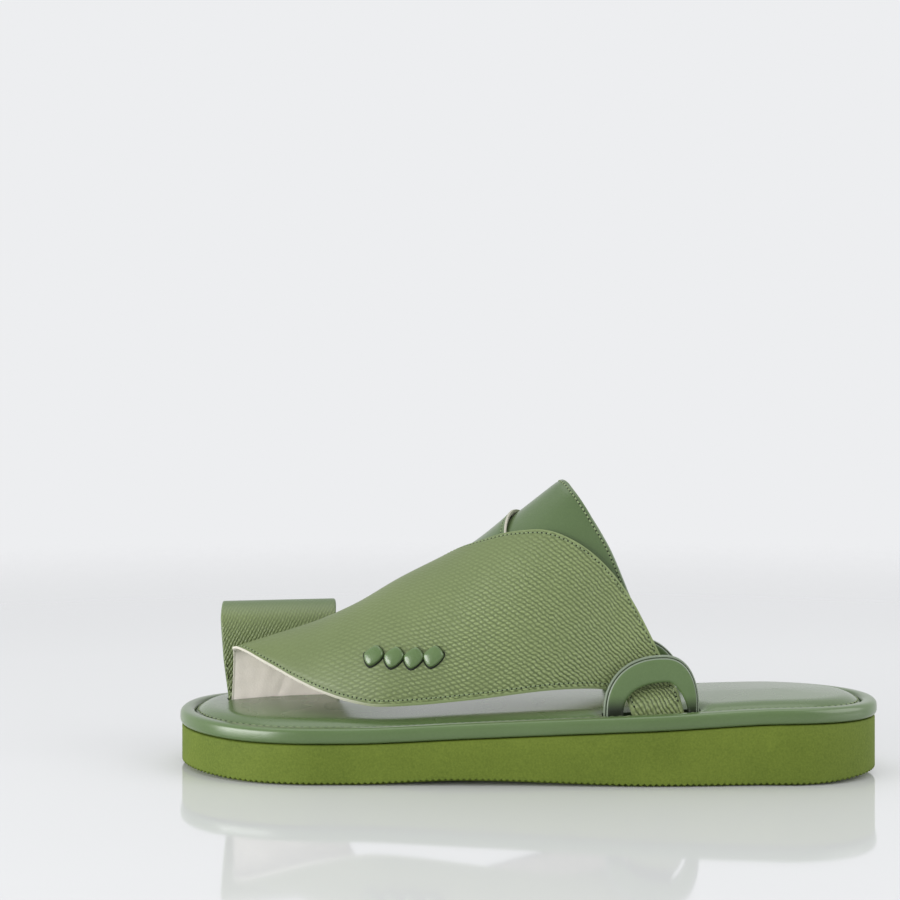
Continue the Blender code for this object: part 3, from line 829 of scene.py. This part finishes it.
def make_plain(name, colour, dark_share, roughness, size, depth):
    """Finish of thread, paint, holes and slits: two close tones and a finely rough surface."""
    finish = Finish(name)
    fleck = finish.noise(finish.place(), size)
    colour = finish.mix(fleck, tint(colour, dark_share), colour)
    finish.put(Base_Color=colour, Roughness=roughness - 0.05 + fleck * 0.1)
    finish.bump(fleck, depth)
    return finish.material


def make_foam():
    finish = Finish("foam", Specular_IOR_Level=0.35)
    spot = finish.place()
    pores = finish.cells(spot, 0.7)
    fleck = finish.noise(spot, 0.8, 3.0)
    broad = finish.noise(spot, 26.0, 3.0)
    tone = broad * 0.8 + fleck * 1.0 - 0.4
    finish.put(Base_Color=finish.mix(tone, FOAM_DEEP, FOAM_GREEN), Roughness=0.80 - fleck * 0.08)
    finish.bump(pores + fleck * 0.5, 0.00006)
    return finish.material


def tint(colour, share):
    return tuple(share * channel for channel in colour[:3]) + (1.0,)


# Sole, footbed and rim

def loft_sole(edge, inward, middle, insets, fill_steps, level):
    """Points from the middle line over a bottom edge, a wall and a top edge to the middle line again.

    insets holds each ring's distance from the outline, from the bottom inwards to the top inwards;
    level gives a ring's height from its number and its points.
    """
    first = edge + insets[0] * inward
    last = edge + insets[-1] * inward
    shares = np.linspace(0.0, 1.0, fill_steps + 1)[1:]
    rings = [mix(first, middle, share) for share in shares[::-1]]
    rings += [edge + inset * inward for inset in insets]
    rings += [mix(last, middle, share) for share in shares]
    rings = [np.column_stack((ring, level(number, ring))) for number, ring in enumerate(rings)]
    return closed(np.stack(rings, axis=1))


def build_outsole(foam):
    edge, inward, middle = sole_path(SOLE_STATIONS)
    tread = np.resize(TREAD_TEETH, len(edge))
    # Rings from the tread to the top: inset, share of the height, rise over it, share of the teeth
    rings = [(TREAD_INSET, 0.0, 0.0, 0.0), (TREAD_INSET - TREAD_DRAFT, 0.0, TREAD_LIFT, 0.0)]
    for angle in np.linspace(0.0, 0.5 * np.pi, SOLE_EDGE_STEPS):
        inset = SOLE_EDGE_RADIUS * (1.0 - math.sin(angle))
        rise = SOLE_EDGE_RADIUS * (1.0 - math.cos(angle))
        rings.append((inset, 0.0, TREAD_LIFT + rise, 1.0))
    rings.append((0.0, 0.0, TREAD_TOP, 0.0))
    rings += [(0.0, share, 0.0, 0.0) for share in SOLE_WALL_SHARES]
    for inset, drop in SOLE_LIP:
        rings.append((inset * SOLE_LIP_RADIUS, 1.0, -drop * SOLE_LIP_RADIUS, 0.0))

    def level(number, ring):
        _, share, rise, teeth = rings[min(max(number - SOLE_FILL_STEPS, 0), len(rings) - 1)]
        return mix(sole_bottom(ring[:, 0]), sole_top(ring[:, 0]), share) + rise + teeth * tread

    insets = [ring[0] for ring in rings]
    points = loft_sole(edge, inward, middle, insets, SOLE_FILL_STEPS, level)
    new_piece("foam_outsole", close_up(grid_mesh(points)), [foam], ["outsole"])


def rounded(inside, width, power):
    """Rise from 0 to 1 over a width, steepest at its start."""
    return 1.0 - (1.0 - np.clip(inside / width, 0.0, 1.0)) ** power


def footbed_height(x, inside):
    """Height of the padding over the outsole at x, a distance inside its edge."""
    shoulder = rounded(inside, FOOTBED_SHOULDER_WIDTH, FOOTBED_SHOULDER_POWER)
    ramp = rounded(inside, FOOTBED_RAMP, FOOTBED_RAMP_POWER)
    swell = lookup(FOOTBED_CROWNS, CROWN_COLUMNS, "height", x) - FOOTBED_EDGE - FOOTBED_SHOULDER
    return FOOTBED_EDGE + FOOTBED_SHOULDER * shoulder + swell * ramp


def footbed_dent(spots, inside):
    """How far the padding is drawn down beside the side loops."""
    dent = 0.0
    for x, y, angle, _, _ in TABS.values():
        along, across = turned(spots[:, 0] - x, spots[:, 1] - y, -angle)
        reach = ease((FOOTBED_DENT_HALF_LENGTH - np.abs(along)) / FOOTBED_DENT_FADE)
        dent = dent + FOOTBED_DENT * reach * bell(across / FOOTBED_DENT_WIDTH)
    return dent * ease(inside / FOOTBED_DENT_WIDTH)


def build_footbed(leather, dark):
    edge, inward, middle = sole_path(FOOTBED_STATIONS)
    edge = edge + (RIM_WIDTH - RIM_OVERHANG + SEAM_GAP) * inward
    insets = [0.0] + list(FOOTBED_RINGS)
    steps = FOOTBED_FILL_STEPS

    def level(number, ring):
        base = sole_top(ring[:, 0]) + SEAM_GAP
        if number <= steps:
            return base
        inside = np.linalg.norm(ring - edge, axis=1)
        return base + footbed_height(ring[:, 0], inside) - footbed_dent(ring, inside)

    bm = close_up(grid_mesh(loft_sole(edge, inward, middle, insets, steps, level)))
    made = new_piece("padded_footbed", bm, [leather, dark], ["footbed"])
    cut_slits(made, dark)


def toe_place(x, y):
    """World place of a point of the toe loop's own frame."""
    along, across = turned(x, y, TOE_ANGLE)
    return TOE_PLACE[0] + along, TOE_PLACE[1] + across


def cut_slits(footbed, dark):
    """Cuts the straps' slits through the footbed's top."""
    slits = [(*toe_place(*POST_SLIT_PLACE), TOE_ANGLE, POST_SLIT_SIZE),
             (*toe_place(*TOE_SLIT_PLACE), TOE_ANGLE, TOE_SLIT_SIZE)]
    slits += [(x, y, angle, SIDE_SLIT_SIZE) for x, y, angle, _, _ in TABS.values()]
    bm = bmesh.new()
    for x, y, angle, (length, width) in slits:
        place = Matrix.Translation(Vector((x, y, SLIT_TOP_Z - 0.5 * SLIT_HEIGHT)) * MM)
        size = Matrix.Diagonal((length * MM, width * MM, SLIT_HEIGHT * MM, 1.0))
        bmesh.ops.create_cube(bm, size=1.0, matrix=place @ Matrix.Rotation(angle, 4, "Z") @ size)
    cutter = new_object("slits", bm, [dark])
    cut = footbed.modifiers.new("slits", "BOOLEAN")
    cut.operation = "DIFFERENCE"
    cut.object = cutter
    cut.material_mode = "TRANSFER"
    settle(footbed)
    bpy.data.objects.remove(cutter, do_unlink=True)


def settle(made):
    """Puts a piece's modifiers into its mesh."""
    bpy.context.view_layer.update()
    evaluated = made.evaluated_get(bpy.context.evaluated_depsgraph_get())
    mesh = bpy.data.meshes.new_from_object(evaluated)
    made.modifiers.clear()
    made.data = mesh
    mesh.shade_smooth()
    mesh.set_sharp_from_angle(angle=SHARP_ANGLE)


def build_rim(leather):
    edge, inward, _ = sole_path(RIM_STATIONS)
    centre = edge + (0.5 * RIM_WIDTH - RIM_OVERHANG) * inward
    angles = np.linspace(0.0, 2.0 * np.pi, RIM_STEPS + 1)
    power = 2.0 / RIM_SQUARENESS
    side = 0.5 * RIM_WIDTH * signed_power(np.cos(angles), power)
    rise = 0.5 * RIM_HEIGHT * signed_power(np.sin(angles), power)
    level = sole_top(centre[:, 0]) + SEAM_GAP + 0.5 * RIM_HEIGHT
    flat = centre[:, None, :] + side[None, :, None] * inward[:, None, :]
    points = np.concatenate((flat, (level[:, None] + rise[None, :])[..., None]), axis=2)
    bm = close_up(grid_mesh(closed(points)))
    made = new_piece("rolled_rim", bm, [leather], ["footbed_rim"])


# Straps

def band_edges(rows, count):
    """Both edges of a strap over the instep: place along the foot and turn on the last."""
    table = along_rows(rows, BAND_COLUMNS, count + 1)
    return (table["front"], table["turn"]), (table["rear"], table["turn"])


def wing_edges(count):
    table = along_rows(WING_ROWS, WING_COLUMNS, count + 1, WING_TIP_STRIP)
    return (table["upper"], table["upper_turn"]), (table["lower"], table["lower_turn"])


def strap_net(edges, count):
    """Place along the foot and turn on the last of a strap's points, a narrow strip at each edge."""
    (first_x, first_turn), (second_x, second_turn) = (
        [np.array(part)[:, None] for part in edge] for edge in edges)
    even = np.linspace(0.0, 1.0, count - 1)[None, :]
    points = bare_last(mix(first_x, second_x, even), mix(first_turn, second_turn, even))
    strip = CUT_EDGE_WIDTH / run_length(points, 1)[:, -1:]
    shares = np.hstack((0.0 * strip, strip + even * (1.0 - 2.0 * strip), 1.0 + 0.0 * strip))
    return mix(first_x, second_x, shares), mix(first_turn, second_turn, shares)


class Strap:
    """A leather strap laid on the last: its points, normals and the distance from its two edges."""

    def __init__(self, edges, count, lift, thickness, seam_insets):
        self.x, self.turn = strap_net(edges, count)
        self.thickness = thickness
        self.out = last_normal(self.x, self.turn)
        self.points = bare_last(self.x, self.turn) + lift * self.out
        run = run_length(self.points, 1)
        self.from_first = run
        self.from_second = run[:, -1:] - run
        self.seam_insets = seam_insets
        for distance, inset in zip((self.from_first, self.from_second), seam_insets):
            skive = np.clip(1.0 - distance / CUT_EDGE_WIDTH, 0.0, 1.0)
            self.raise_by(-CUT_EDGE_DROP * skive)
            if inset:
                self.raise_by(-STITCH_GROOVE * bell((distance - inset) / STITCH_GROOVE_WIDTH))

    def raise_by(self, amount):
        self.points = self.points + amount[..., None] * self.out

    def flat(self):
        return np.stack((self.x, girth_from_ridge(self.x, self.turn)), axis=-1)

    def seam(self, first_edge):
        """Line on the strap's face at the stitches' inset from one edge, with its normals."""
        way = 1 if first_edge else -1
        distances = self.from_first if first_edge else self.from_second
        inset = self.seam_insets[0 if first_edge else 1]
        line, normals = (
            np.array([read_line(inset, run[::way], row[::way]) for run, row in zip(distances, rows)])
            for rows in (self.points, self.out))
        normals = unit(normals)
        return line + 0.5 * self.thickness * normals, normals

    def build(self, name, materials, pale_edges, sharp_tip=False):
        paint = np.zeros([size - 1 for size in self.points.shape[:2]], int)
        if pale_edges:
            paint[0, :] = paint[:, 0] = paint[:, -1] = 2
        bm = grid_mesh(self.points, self.flat(), paint.tolist())
        middle = len(self.out) // 2
        face_towards(bm, self.out[middle, self.out.shape[1] // 2])
        made = new_piece(name, bm, materials, ["upper"])
        add_wall(made, self.thickness, EDGE_ROUND, sharp_tip)


def spaced(line, out, pitch, visible):
    """Even places along a line where it is in view, with the direction ahead and the normal."""
    run = run_length(line, 0)
    at = np.arange(0.5 * pitch, run[-1], pitch)
    place = read_line(at, run, line)
    ahead = unit(read_line(at + AHEAD_STEP, run, line) - read_line(at - AHEAD_STEP, run, line))
    normal = unit(read_line(at, run, out))
    keep = visible(place)
    return place[keep], ahead[keep], normal[keep]


def upright(ahead, normal, size):
    """Matrix that turns and scales a unit shape to lie along a seam."""
    side = np.cross(normal, ahead)
    axes = np.stack((ahead * size[0], side * size[1], normal * size[2]), axis=1) * (0.5 * MM)
    return Matrix(axes.tolist()).to_4x4()


def above_footbed(places):
    crown = lookup(FOOTBED_CROWNS, CROWN_COLUMNS, "height", places[:, 0])
    return places[:, 2] > sole_top(places[:, 0]) + crown + STITCH_CLEARANCE


def sew(name, seams, finishes, pitch=STITCH_PITCH, size=STITCH_SIZE, visible=above_footbed):
    """Rows of stitches with needle holes between them, the holes flat dark discs of painted shade,
    joined in one mesh.
    """
    stitches = [spot for line, out in seams for spot in zip(*spaced(line, out, pitch, visible))]
    shapes = ((size, STITCH_SEGMENTS, 0.0, 0.0), (HOLE_SIZE, HOLE_SEGMENTS, 0.5 * pitch, HOLE_LIFT))
    bm = bmesh.new()
    for material, (shape, segments, shift, lift) in enumerate(shapes):
        before = len(bm.faces)
        for place, ahead, normal in stitches:
            spot = Matrix.Translation(Vector(place + shift * ahead + lift * normal) * MM)
            add_ball(bm, segments, spot @ upright(ahead, normal, shape))
        bm.faces.ensure_lookup_table()
        for face in bm.faces[before:]:
            face.material_index = material
    new_piece(name, bm, [finishes["thread"], finishes["hole"]])


def build_straps(finishes):
    smooth_layers = [finishes["smooth"], finishes["lining"], finishes["saddle_edge"]]
    grained_layers = [finishes["grained"], finishes["lining"], finishes["wing_edge"]]
    edges = band_edges(BAND_ROWS, BAND_GRID[0])
    band = Strap(edges, BAND_GRID[1], BAND_LIFT, BAND_LEATHER, BAND_SEAMS)
    edges = band_edges(SADDLE_ROWS, SADDLE_GRID[0])
    saddle = Strap(edges, SADDLE_GRID[1], SADDLE_LIFT, SADDLE_LEATHER, SADDLE_SEAMS)
    saddle.raise_by(SADDLE_CURL * np.exp(-saddle.from_second / SADDLE_CURL_REACH)
                    * ease(1.0 - np.abs(saddle.turn - SADDLE_CURL_TURN) / SADDLE_CURL_SPREAD))
    wing = Strap(wing_edges(WING_GRID[0]), WING_GRID[1], WING_LIFT, WING_LEATHER, WING_SEAMS)
    for crease in WING_CREASES:
        row = dict(zip(WING_CREASE_COLUMNS, crease))
        line = row["x"] + row["slant"] * (wing.points[..., 2] - row["height"])
        fade = ease((WING_CREASE_FROM - wing.turn) / WING_CREASE_FADE)
        wing.raise_by(row["depth"] * fade * bell((wing.x - line) / row["width"]))
    band.build("instep_band", smooth_layers, False)
    saddle.build("smooth_saddle", smooth_layers, True)
    wing.build("grained_wing", grained_layers, True, sharp_tip=True)
    sew("instep_band_stitches", [band.seam(False)], finishes)
    sew("saddle_stitches", [saddle.seam(False)], finishes)
    sew("wing_stitches", [wing.seam(True), wing.seam(False)], finishes)


# Toe loop

def toe_grid():
    table = along_rows(TOE_ROWS, TOE_COLUMNS, TOE_GRID[0] + 1)
    shares = np.linspace(0.0, 1.0, TOE_GRID[1] + 1)[None, :]
    x = mix(table["front"][:, None], table["rear"][:, None], shares)
    y = table["y"][:, None] + 0.0 * shares
    z = table["z"][:, None] + 0.0 * shares
    return np.stack((x, y, z), axis=-1)


def toe_flat():
    """Flat coordinates of the toe loop: length round it and across it."""
    local = toe_grid()
    round_it = run_length(local[:, TOE_GRID[1] // 2], 0)
    return np.stack((round_it[:, None] + 0.0 * local[..., 0], local[..., 0]), axis=-1)


def build_toe_loop(finishes):
    local = toe_grid()
    along = np.gradient(local, axis=0)
    across = np.gradient(local, axis=1)
    out = unit(np.cross(across, along))
    from_rear = local[..., 0] - local[:, -1:, 0]
    for crease in TOE_CREASES:
        row = dict(zip(TOE_CREASE_COLUMNS, crease))
        high = 0.5 * (row["low"] + row["high"])
        spread = 0.5 * (row["high"] - row["low"])
        line = row["from_rear"] + row["slant"] * (local[..., 2] - high)
        fade = bell((local[..., 2] - high) / spread) * (local[..., 1] < 0.0)
        trough = bell((from_rear - line) / row["width"])
        local = local - (row["depth"] * fade * trough)[..., None] * out
    x, y = toe_place(local[..., 0], local[..., 1])
    points = np.stack((x, y, local[..., 2]), axis=-1)
    bm = grid_mesh(points, toe_flat())
    face_towards(bm, (0.0, 0.0, 1.0))
    layers = [finishes["toe"], finishes["lining"], finishes["smooth"]]
    made = new_piece("big_toe_loop", bm, layers, ["toe_loop"])
    add_wall(made, TOE_LEATHER, TOE_EDGE_ROUND)


# Side loops

def tab_section():
    """Closed section of a side loop: its front and then its back, off the middle of its thickness."""
    front = [(edge, inset, 0.5 * TAB_THICKNESS + height) for edge, inset, height in TAB_SECTION]
    back = [(edge, inset, -height) for edge, inset, height in reversed(front)]
    return front + back + front[:1]


def arch(turn, shape):
    """Rounded outline that stands on its base, its top leaning; a fullness of 2 is an ellipse."""
    row = dict(zip(ARCH_COLUMNS, shape))
    power = 2.0 / np.where(np.cos(turn) > 0.0, row["front_fullness"], row["rear_fullness"])
    reach = signed_power(np.cos(turn), power)
    width = row["half_width"] - row["lean"] * np.sign(reach)
    across = row["shift"] + row["lean"] + width * reach
    return np.column_stack((across, row["height"] * np.abs(np.sin(turn)) ** power))


def build_tab(side, finishes):
    x0, y0, angle, outline, opening = TABS[side]
    turn = np.linspace(0.0, np.pi, TAB_STEPS + 1)
    drops = np.linspace(TAB_FOOT_Z - TAB_BASE_Z, 0.0, TAB_LEG_STEPS + 1)[:-1]

    def on_legs(curve):
        legs = [np.column_stack((np.full(TAB_LEG_STEPS, curve[end, 0]), drops)) for end in (0, -1)]
        return np.vstack((legs[0], curve, legs[1][::-1]))

    outer, window = on_legs(arch(turn, outline)), on_legs(arch(turn, opening))
    width = np.linalg.norm(outer - window, axis=1)
    rings = []
    for edge, inset, height in tab_section():
        share = inset / width if edge == "window" else 1.0 - inset / width
        flat = mix(window, outer, share[:, None])
        along, across = turned(flat[:, 0], height, angle)
        rings.append(np.column_stack((x0 + along, y0 + across, TAB_BASE_Z + flat[:, 1])))
    paint = TAB_PAINT + TAB_PAINT[-2::-1] + (0,)
    bm = close_up(grid_mesh(np.stack(rings, axis=1), paint=[paint] * len(outer)))
    bmesh.ops.holes_fill(bm, edges=[edge for edge in bm.edges if edge.is_boundary], sides=0)
    bmesh.ops.recalc_face_normals(bm, faces=bm.faces[:])
    layers = [finishes["tab"], finishes["edge_paint"], finishes["slit"]]
    new_piece(f"{side}_strap_tab", bm, layers, [f"side_loop_{side}"])


# Woven thong

def diamond_seat(share):
    """Place, direction along the row, direction up the wing and normal at a share of the row."""
    x = np.array(mix(DIAMOND_FIRST[0], DIAMOND_LAST[0], share))
    turn = mix(DIAMOND_FIRST[1], DIAMOND_LAST[1], share)
    turn = np.array(turn + DIAMOND_SAG * share * (1.0 - share))
    out = last_normal(x, turn)
    seat = bare_last(x, turn) + (WING_LIFT + 0.5 * WING_LEATHER) * out
    along = unit(np.cross(out, (0.0, 0.0, -1.0)))
    return seat, along, np.cross(out, along), out


def diamond_outline(x, y):
    """Place of a point of the unit circle in a diamond: along the row and up the wing."""
    fullness = DIAMOND_FULLNESS[0 if y > 0.0 else 1]
    reach = math.hypot(x, y)
    fuller = (abs(x) ** fullness + abs(y) ** fullness) ** (1.0 / fullness)
    scale = reach / fuller if reach > TINY else 0.0
    rise = (DIAMOND_TOP if y > 0.0 else DIAMOND_BOTTOM) * y * scale
    return DIAMOND_HALF_WIDTH * x * scale + DIAMOND_LEAN * rise, rise


def add_diamond(bm, number, segments, margin, lift, swell):
    """A ball pressed to a diamond at its place in the row; swell is its rise, sink and exponent."""
    seat, along, up, out = diamond_seat(number / (DIAMOND_COUNT - 1))
    over, under, pillow = swell
    for vert in add_ball(bm, segments)["verts"]:
        across, rise = margin * np.array(diamond_outline(vert.co.x, vert.co.y))
        height = (over if vert.co.z > 0.0 else -under) * abs(vert.co.z) ** pillow
        vert.co = Vector(seat + across * along + (rise + lift) * up + height * out) * MM


def build_diamonds(finishes):
    for number in range(DIAMOND_COUNT):
        bm = bmesh.new()
        add_diamond(bm, number, DIAMOND_SEGMENTS, 1.0, DIAMOND_LIFT, DIAMOND_SWELL)
        new_piece(f"woven_diamond_{number + 1}", bm, [finishes["thong"]],
                  [f"thong_diamond_{number + 1}"])


def build_thong_slit_shadows(dark):
    """Dark discs painted as the shadow in the slits where the thong dives through the wing, and a
    dark sheet under each diamond, painted shadow of the gap round it.
    """
    bm = bmesh.new()
    for number in range(DIAMOND_COUNT + 1):
        seat, _, up, out = diamond_seat((number - 0.5) / (DIAMOND_COUNT - 1))
        spot = Matrix.Translation(Vector(seat) * MM)
        add_ball(bm, THONG_SLIT_SHADOW_SEGMENTS, spot @ upright(up, out, THONG_SLIT_SHADOW_SIZE))
    for number in range(DIAMOND_COUNT):
        add_diamond(bm, number, SHADOW_SHEET_SEGMENTS, SHADOW_SHEET_MARGIN, DIAMOND_LIFT - SHADOW_SHEET_DROP, SHADOW_SHEET_SWELL)
    new_piece("thong_slit_shadows", bm, [dark])


def sew_footbed(finishes):
    """Stitches in the groove between the footbed and its rim."""
    edge, inward, _ = sole_path(RIM_STATIONS)
    inset = FOOTBED_STITCH_INSET
    ring = edge + (RIM_WIDTH - RIM_OVERHANG + SEAM_GAP + inset) * inward
    level = sole_top(ring[:, 0]) + SEAM_GAP + footbed_height(ring[:, 0], inset)
    out = unit(np.column_stack((-FOOTBED_STITCH_LEAN * inward, np.ones(len(ring)))))
    seam = (closed(np.column_stack((ring, level))), closed(out))
    sew("footbed_stitches", [seam], finishes, FOOTBED_STITCH_PITCH,
        FOOTBED_STITCH_SIZE, lambda places: places[:, 2] > 0.0)


# Studio

def build_floor():
    finish = Finish("floor", Base_Color=FLOOR_WHITE, Roughness=FLOOR_ROUGHNESS, IOR=FLOOR_IOR)
    metres = finish.node("TexCoord", output="Object")
    reach = finish.node("VectorMath", {"operation": "LENGTH"}, {0: metres}, "Value")
    fade = finish.ramp(reach, *FLOOR_FADE)
    clear = finish.node("BsdfTransparent", {}, {}, "BSDF")
    shown = Value(finish, finish.shader.outputs["BSDF"])
    blend = finish.node("MixShader", {}, {0: fade, 1: shown, 2: clear})
    finish.feed(finish.tree.nodes["Material Output"].inputs["Surface"], blend)
    bm = bmesh.new()
    bmesh.ops.create_grid(bm, x_segments=8, y_segments=8, size=FLOOR_HALF)
    floor = new_object("floor", bm, [finish.material])


def build_lights():
    world = bpy.data.worlds.new("studio")
    world.use_nodes = True
    backdrop = Nodes(world.node_tree)
    way = backdrop.node("TexCoord", output="Generated")
    towards_front = backdrop.node("SeparateXYZ", {}, {"Vector": way}, "Y")
    dim = backdrop.ramp(towards_front, *STUDIO_FADE)
    backdrop.feed(world.node_tree.nodes["Background"].inputs["Color"],
                  backdrop.mix(dim, STUDIO_WHITE, STUDIO_DIM))
    bpy.context.scene.world = world
    for name, (place, size, power) in SOFT_BOXES.items():
        light = bpy.data.lights.new(name, "AREA")
        light.shape = "RECTANGLE"
        light.size, light.size_y = size
        light.energy = power
        lamp = link(name, light)
        lamp.location = place
        aim = Vector(LIGHT_AIM) - Vector(place)
        lamp.rotation_euler = aim.to_track_quat("-Z", "Y").to_euler()
        lamp.visible_camera = False


def build_camera():
    data = bpy.data.cameras.new("camera")
    data.lens = CAMERA_LENS
    data.sensor_width = CAMERA_SENSOR
    camera = link("camera", data)
    camera.location = Vector(CAMERA_PLACE) * MM
    ahead = Vector((math.sin(CAMERA_TURN), -math.cos(CAMERA_TURN), 0.0))
    camera.rotation_euler = ahead.to_track_quat("-Z", "Y").to_euler()
    bpy.context.scene.camera = camera


def build_sandal():
    finishes = {
        "grained": make_grained_leather(),
        "smooth": make_smooth_leather("smooth_leather", 0.33, tone=0.93),
        # side loops: a lighter copy of the smooth leather, painted light of the front fill on their
        # faces, with painted shade at their feet
        "tab": make_smooth_leather("side_loop_leather", 0.42, tone=1.22, painted_shade=TAB_PAINTED_SHADE),
        "footbed": make_smooth_leather("footbed_leather", 0.27, 0.000003),
        # rim: a lighter copy of the footbed's leather, painted light from the toe side
        "rim": make_smooth_leather("rim_leather", 0.30, 0.000003, 1.12),
        "thong": make_smooth_leather("thong_leather", 0.28, tone=1.2),
        "toe": make_toe_leather(),
        "lining": make_lining(),
        "wing_edge": make_cut_edge("wing_edge", CUT_EDGE_PALE, (45.0, 85.0), (200.0, 220.0)),
        # the saddle's cut edge: a darker copy of the pale core, partly the saddle's own duller edge
        # and partly painted shade
        "saddle_edge": make_cut_edge("saddle_edge", tint(CUT_EDGE_PALE, 0.82), (-2.0, 6.0),
                                     (9.0, 16.0)),
        "edge_paint": make_plain("edge_paint", EDGE_PAINT_GREY, 0.8, 0.42, 0.7, 0.00003),
        "thread": make_plain("thread", THREAD_GREEN, 0.7, 0.6, 0.35, 0.00005),
        # needle holes, thong slits and gaps: painted shade
        "hole": make_plain("needle_hole", HOLE_PAINTED_SHADE, 0.6, 0.9, 0.5, 0.00002),
        "slit": make_plain("slit_wall", tint(LEATHER_DEEP, 0.5), 0.6, 0.8, 0.8, 0.00004),
        "foam": make_foam(),
    }
    build_outsole(finishes["foam"])
    build_rim(finishes["rim"])
    build_footbed(finishes["footbed"], finishes["slit"])
    sew_footbed(finishes)
    build_straps(finishes)
    build_toe_loop(finishes)
    for side in TABS:
        build_tab(side, finishes)
    build_diamonds(finishes)
    build_thong_slit_shadows(finishes["hole"])


build_sandal()
build_floor()
build_lights()
build_camera()
bpy.context.scene.view_settings.view_transform = "Standard"
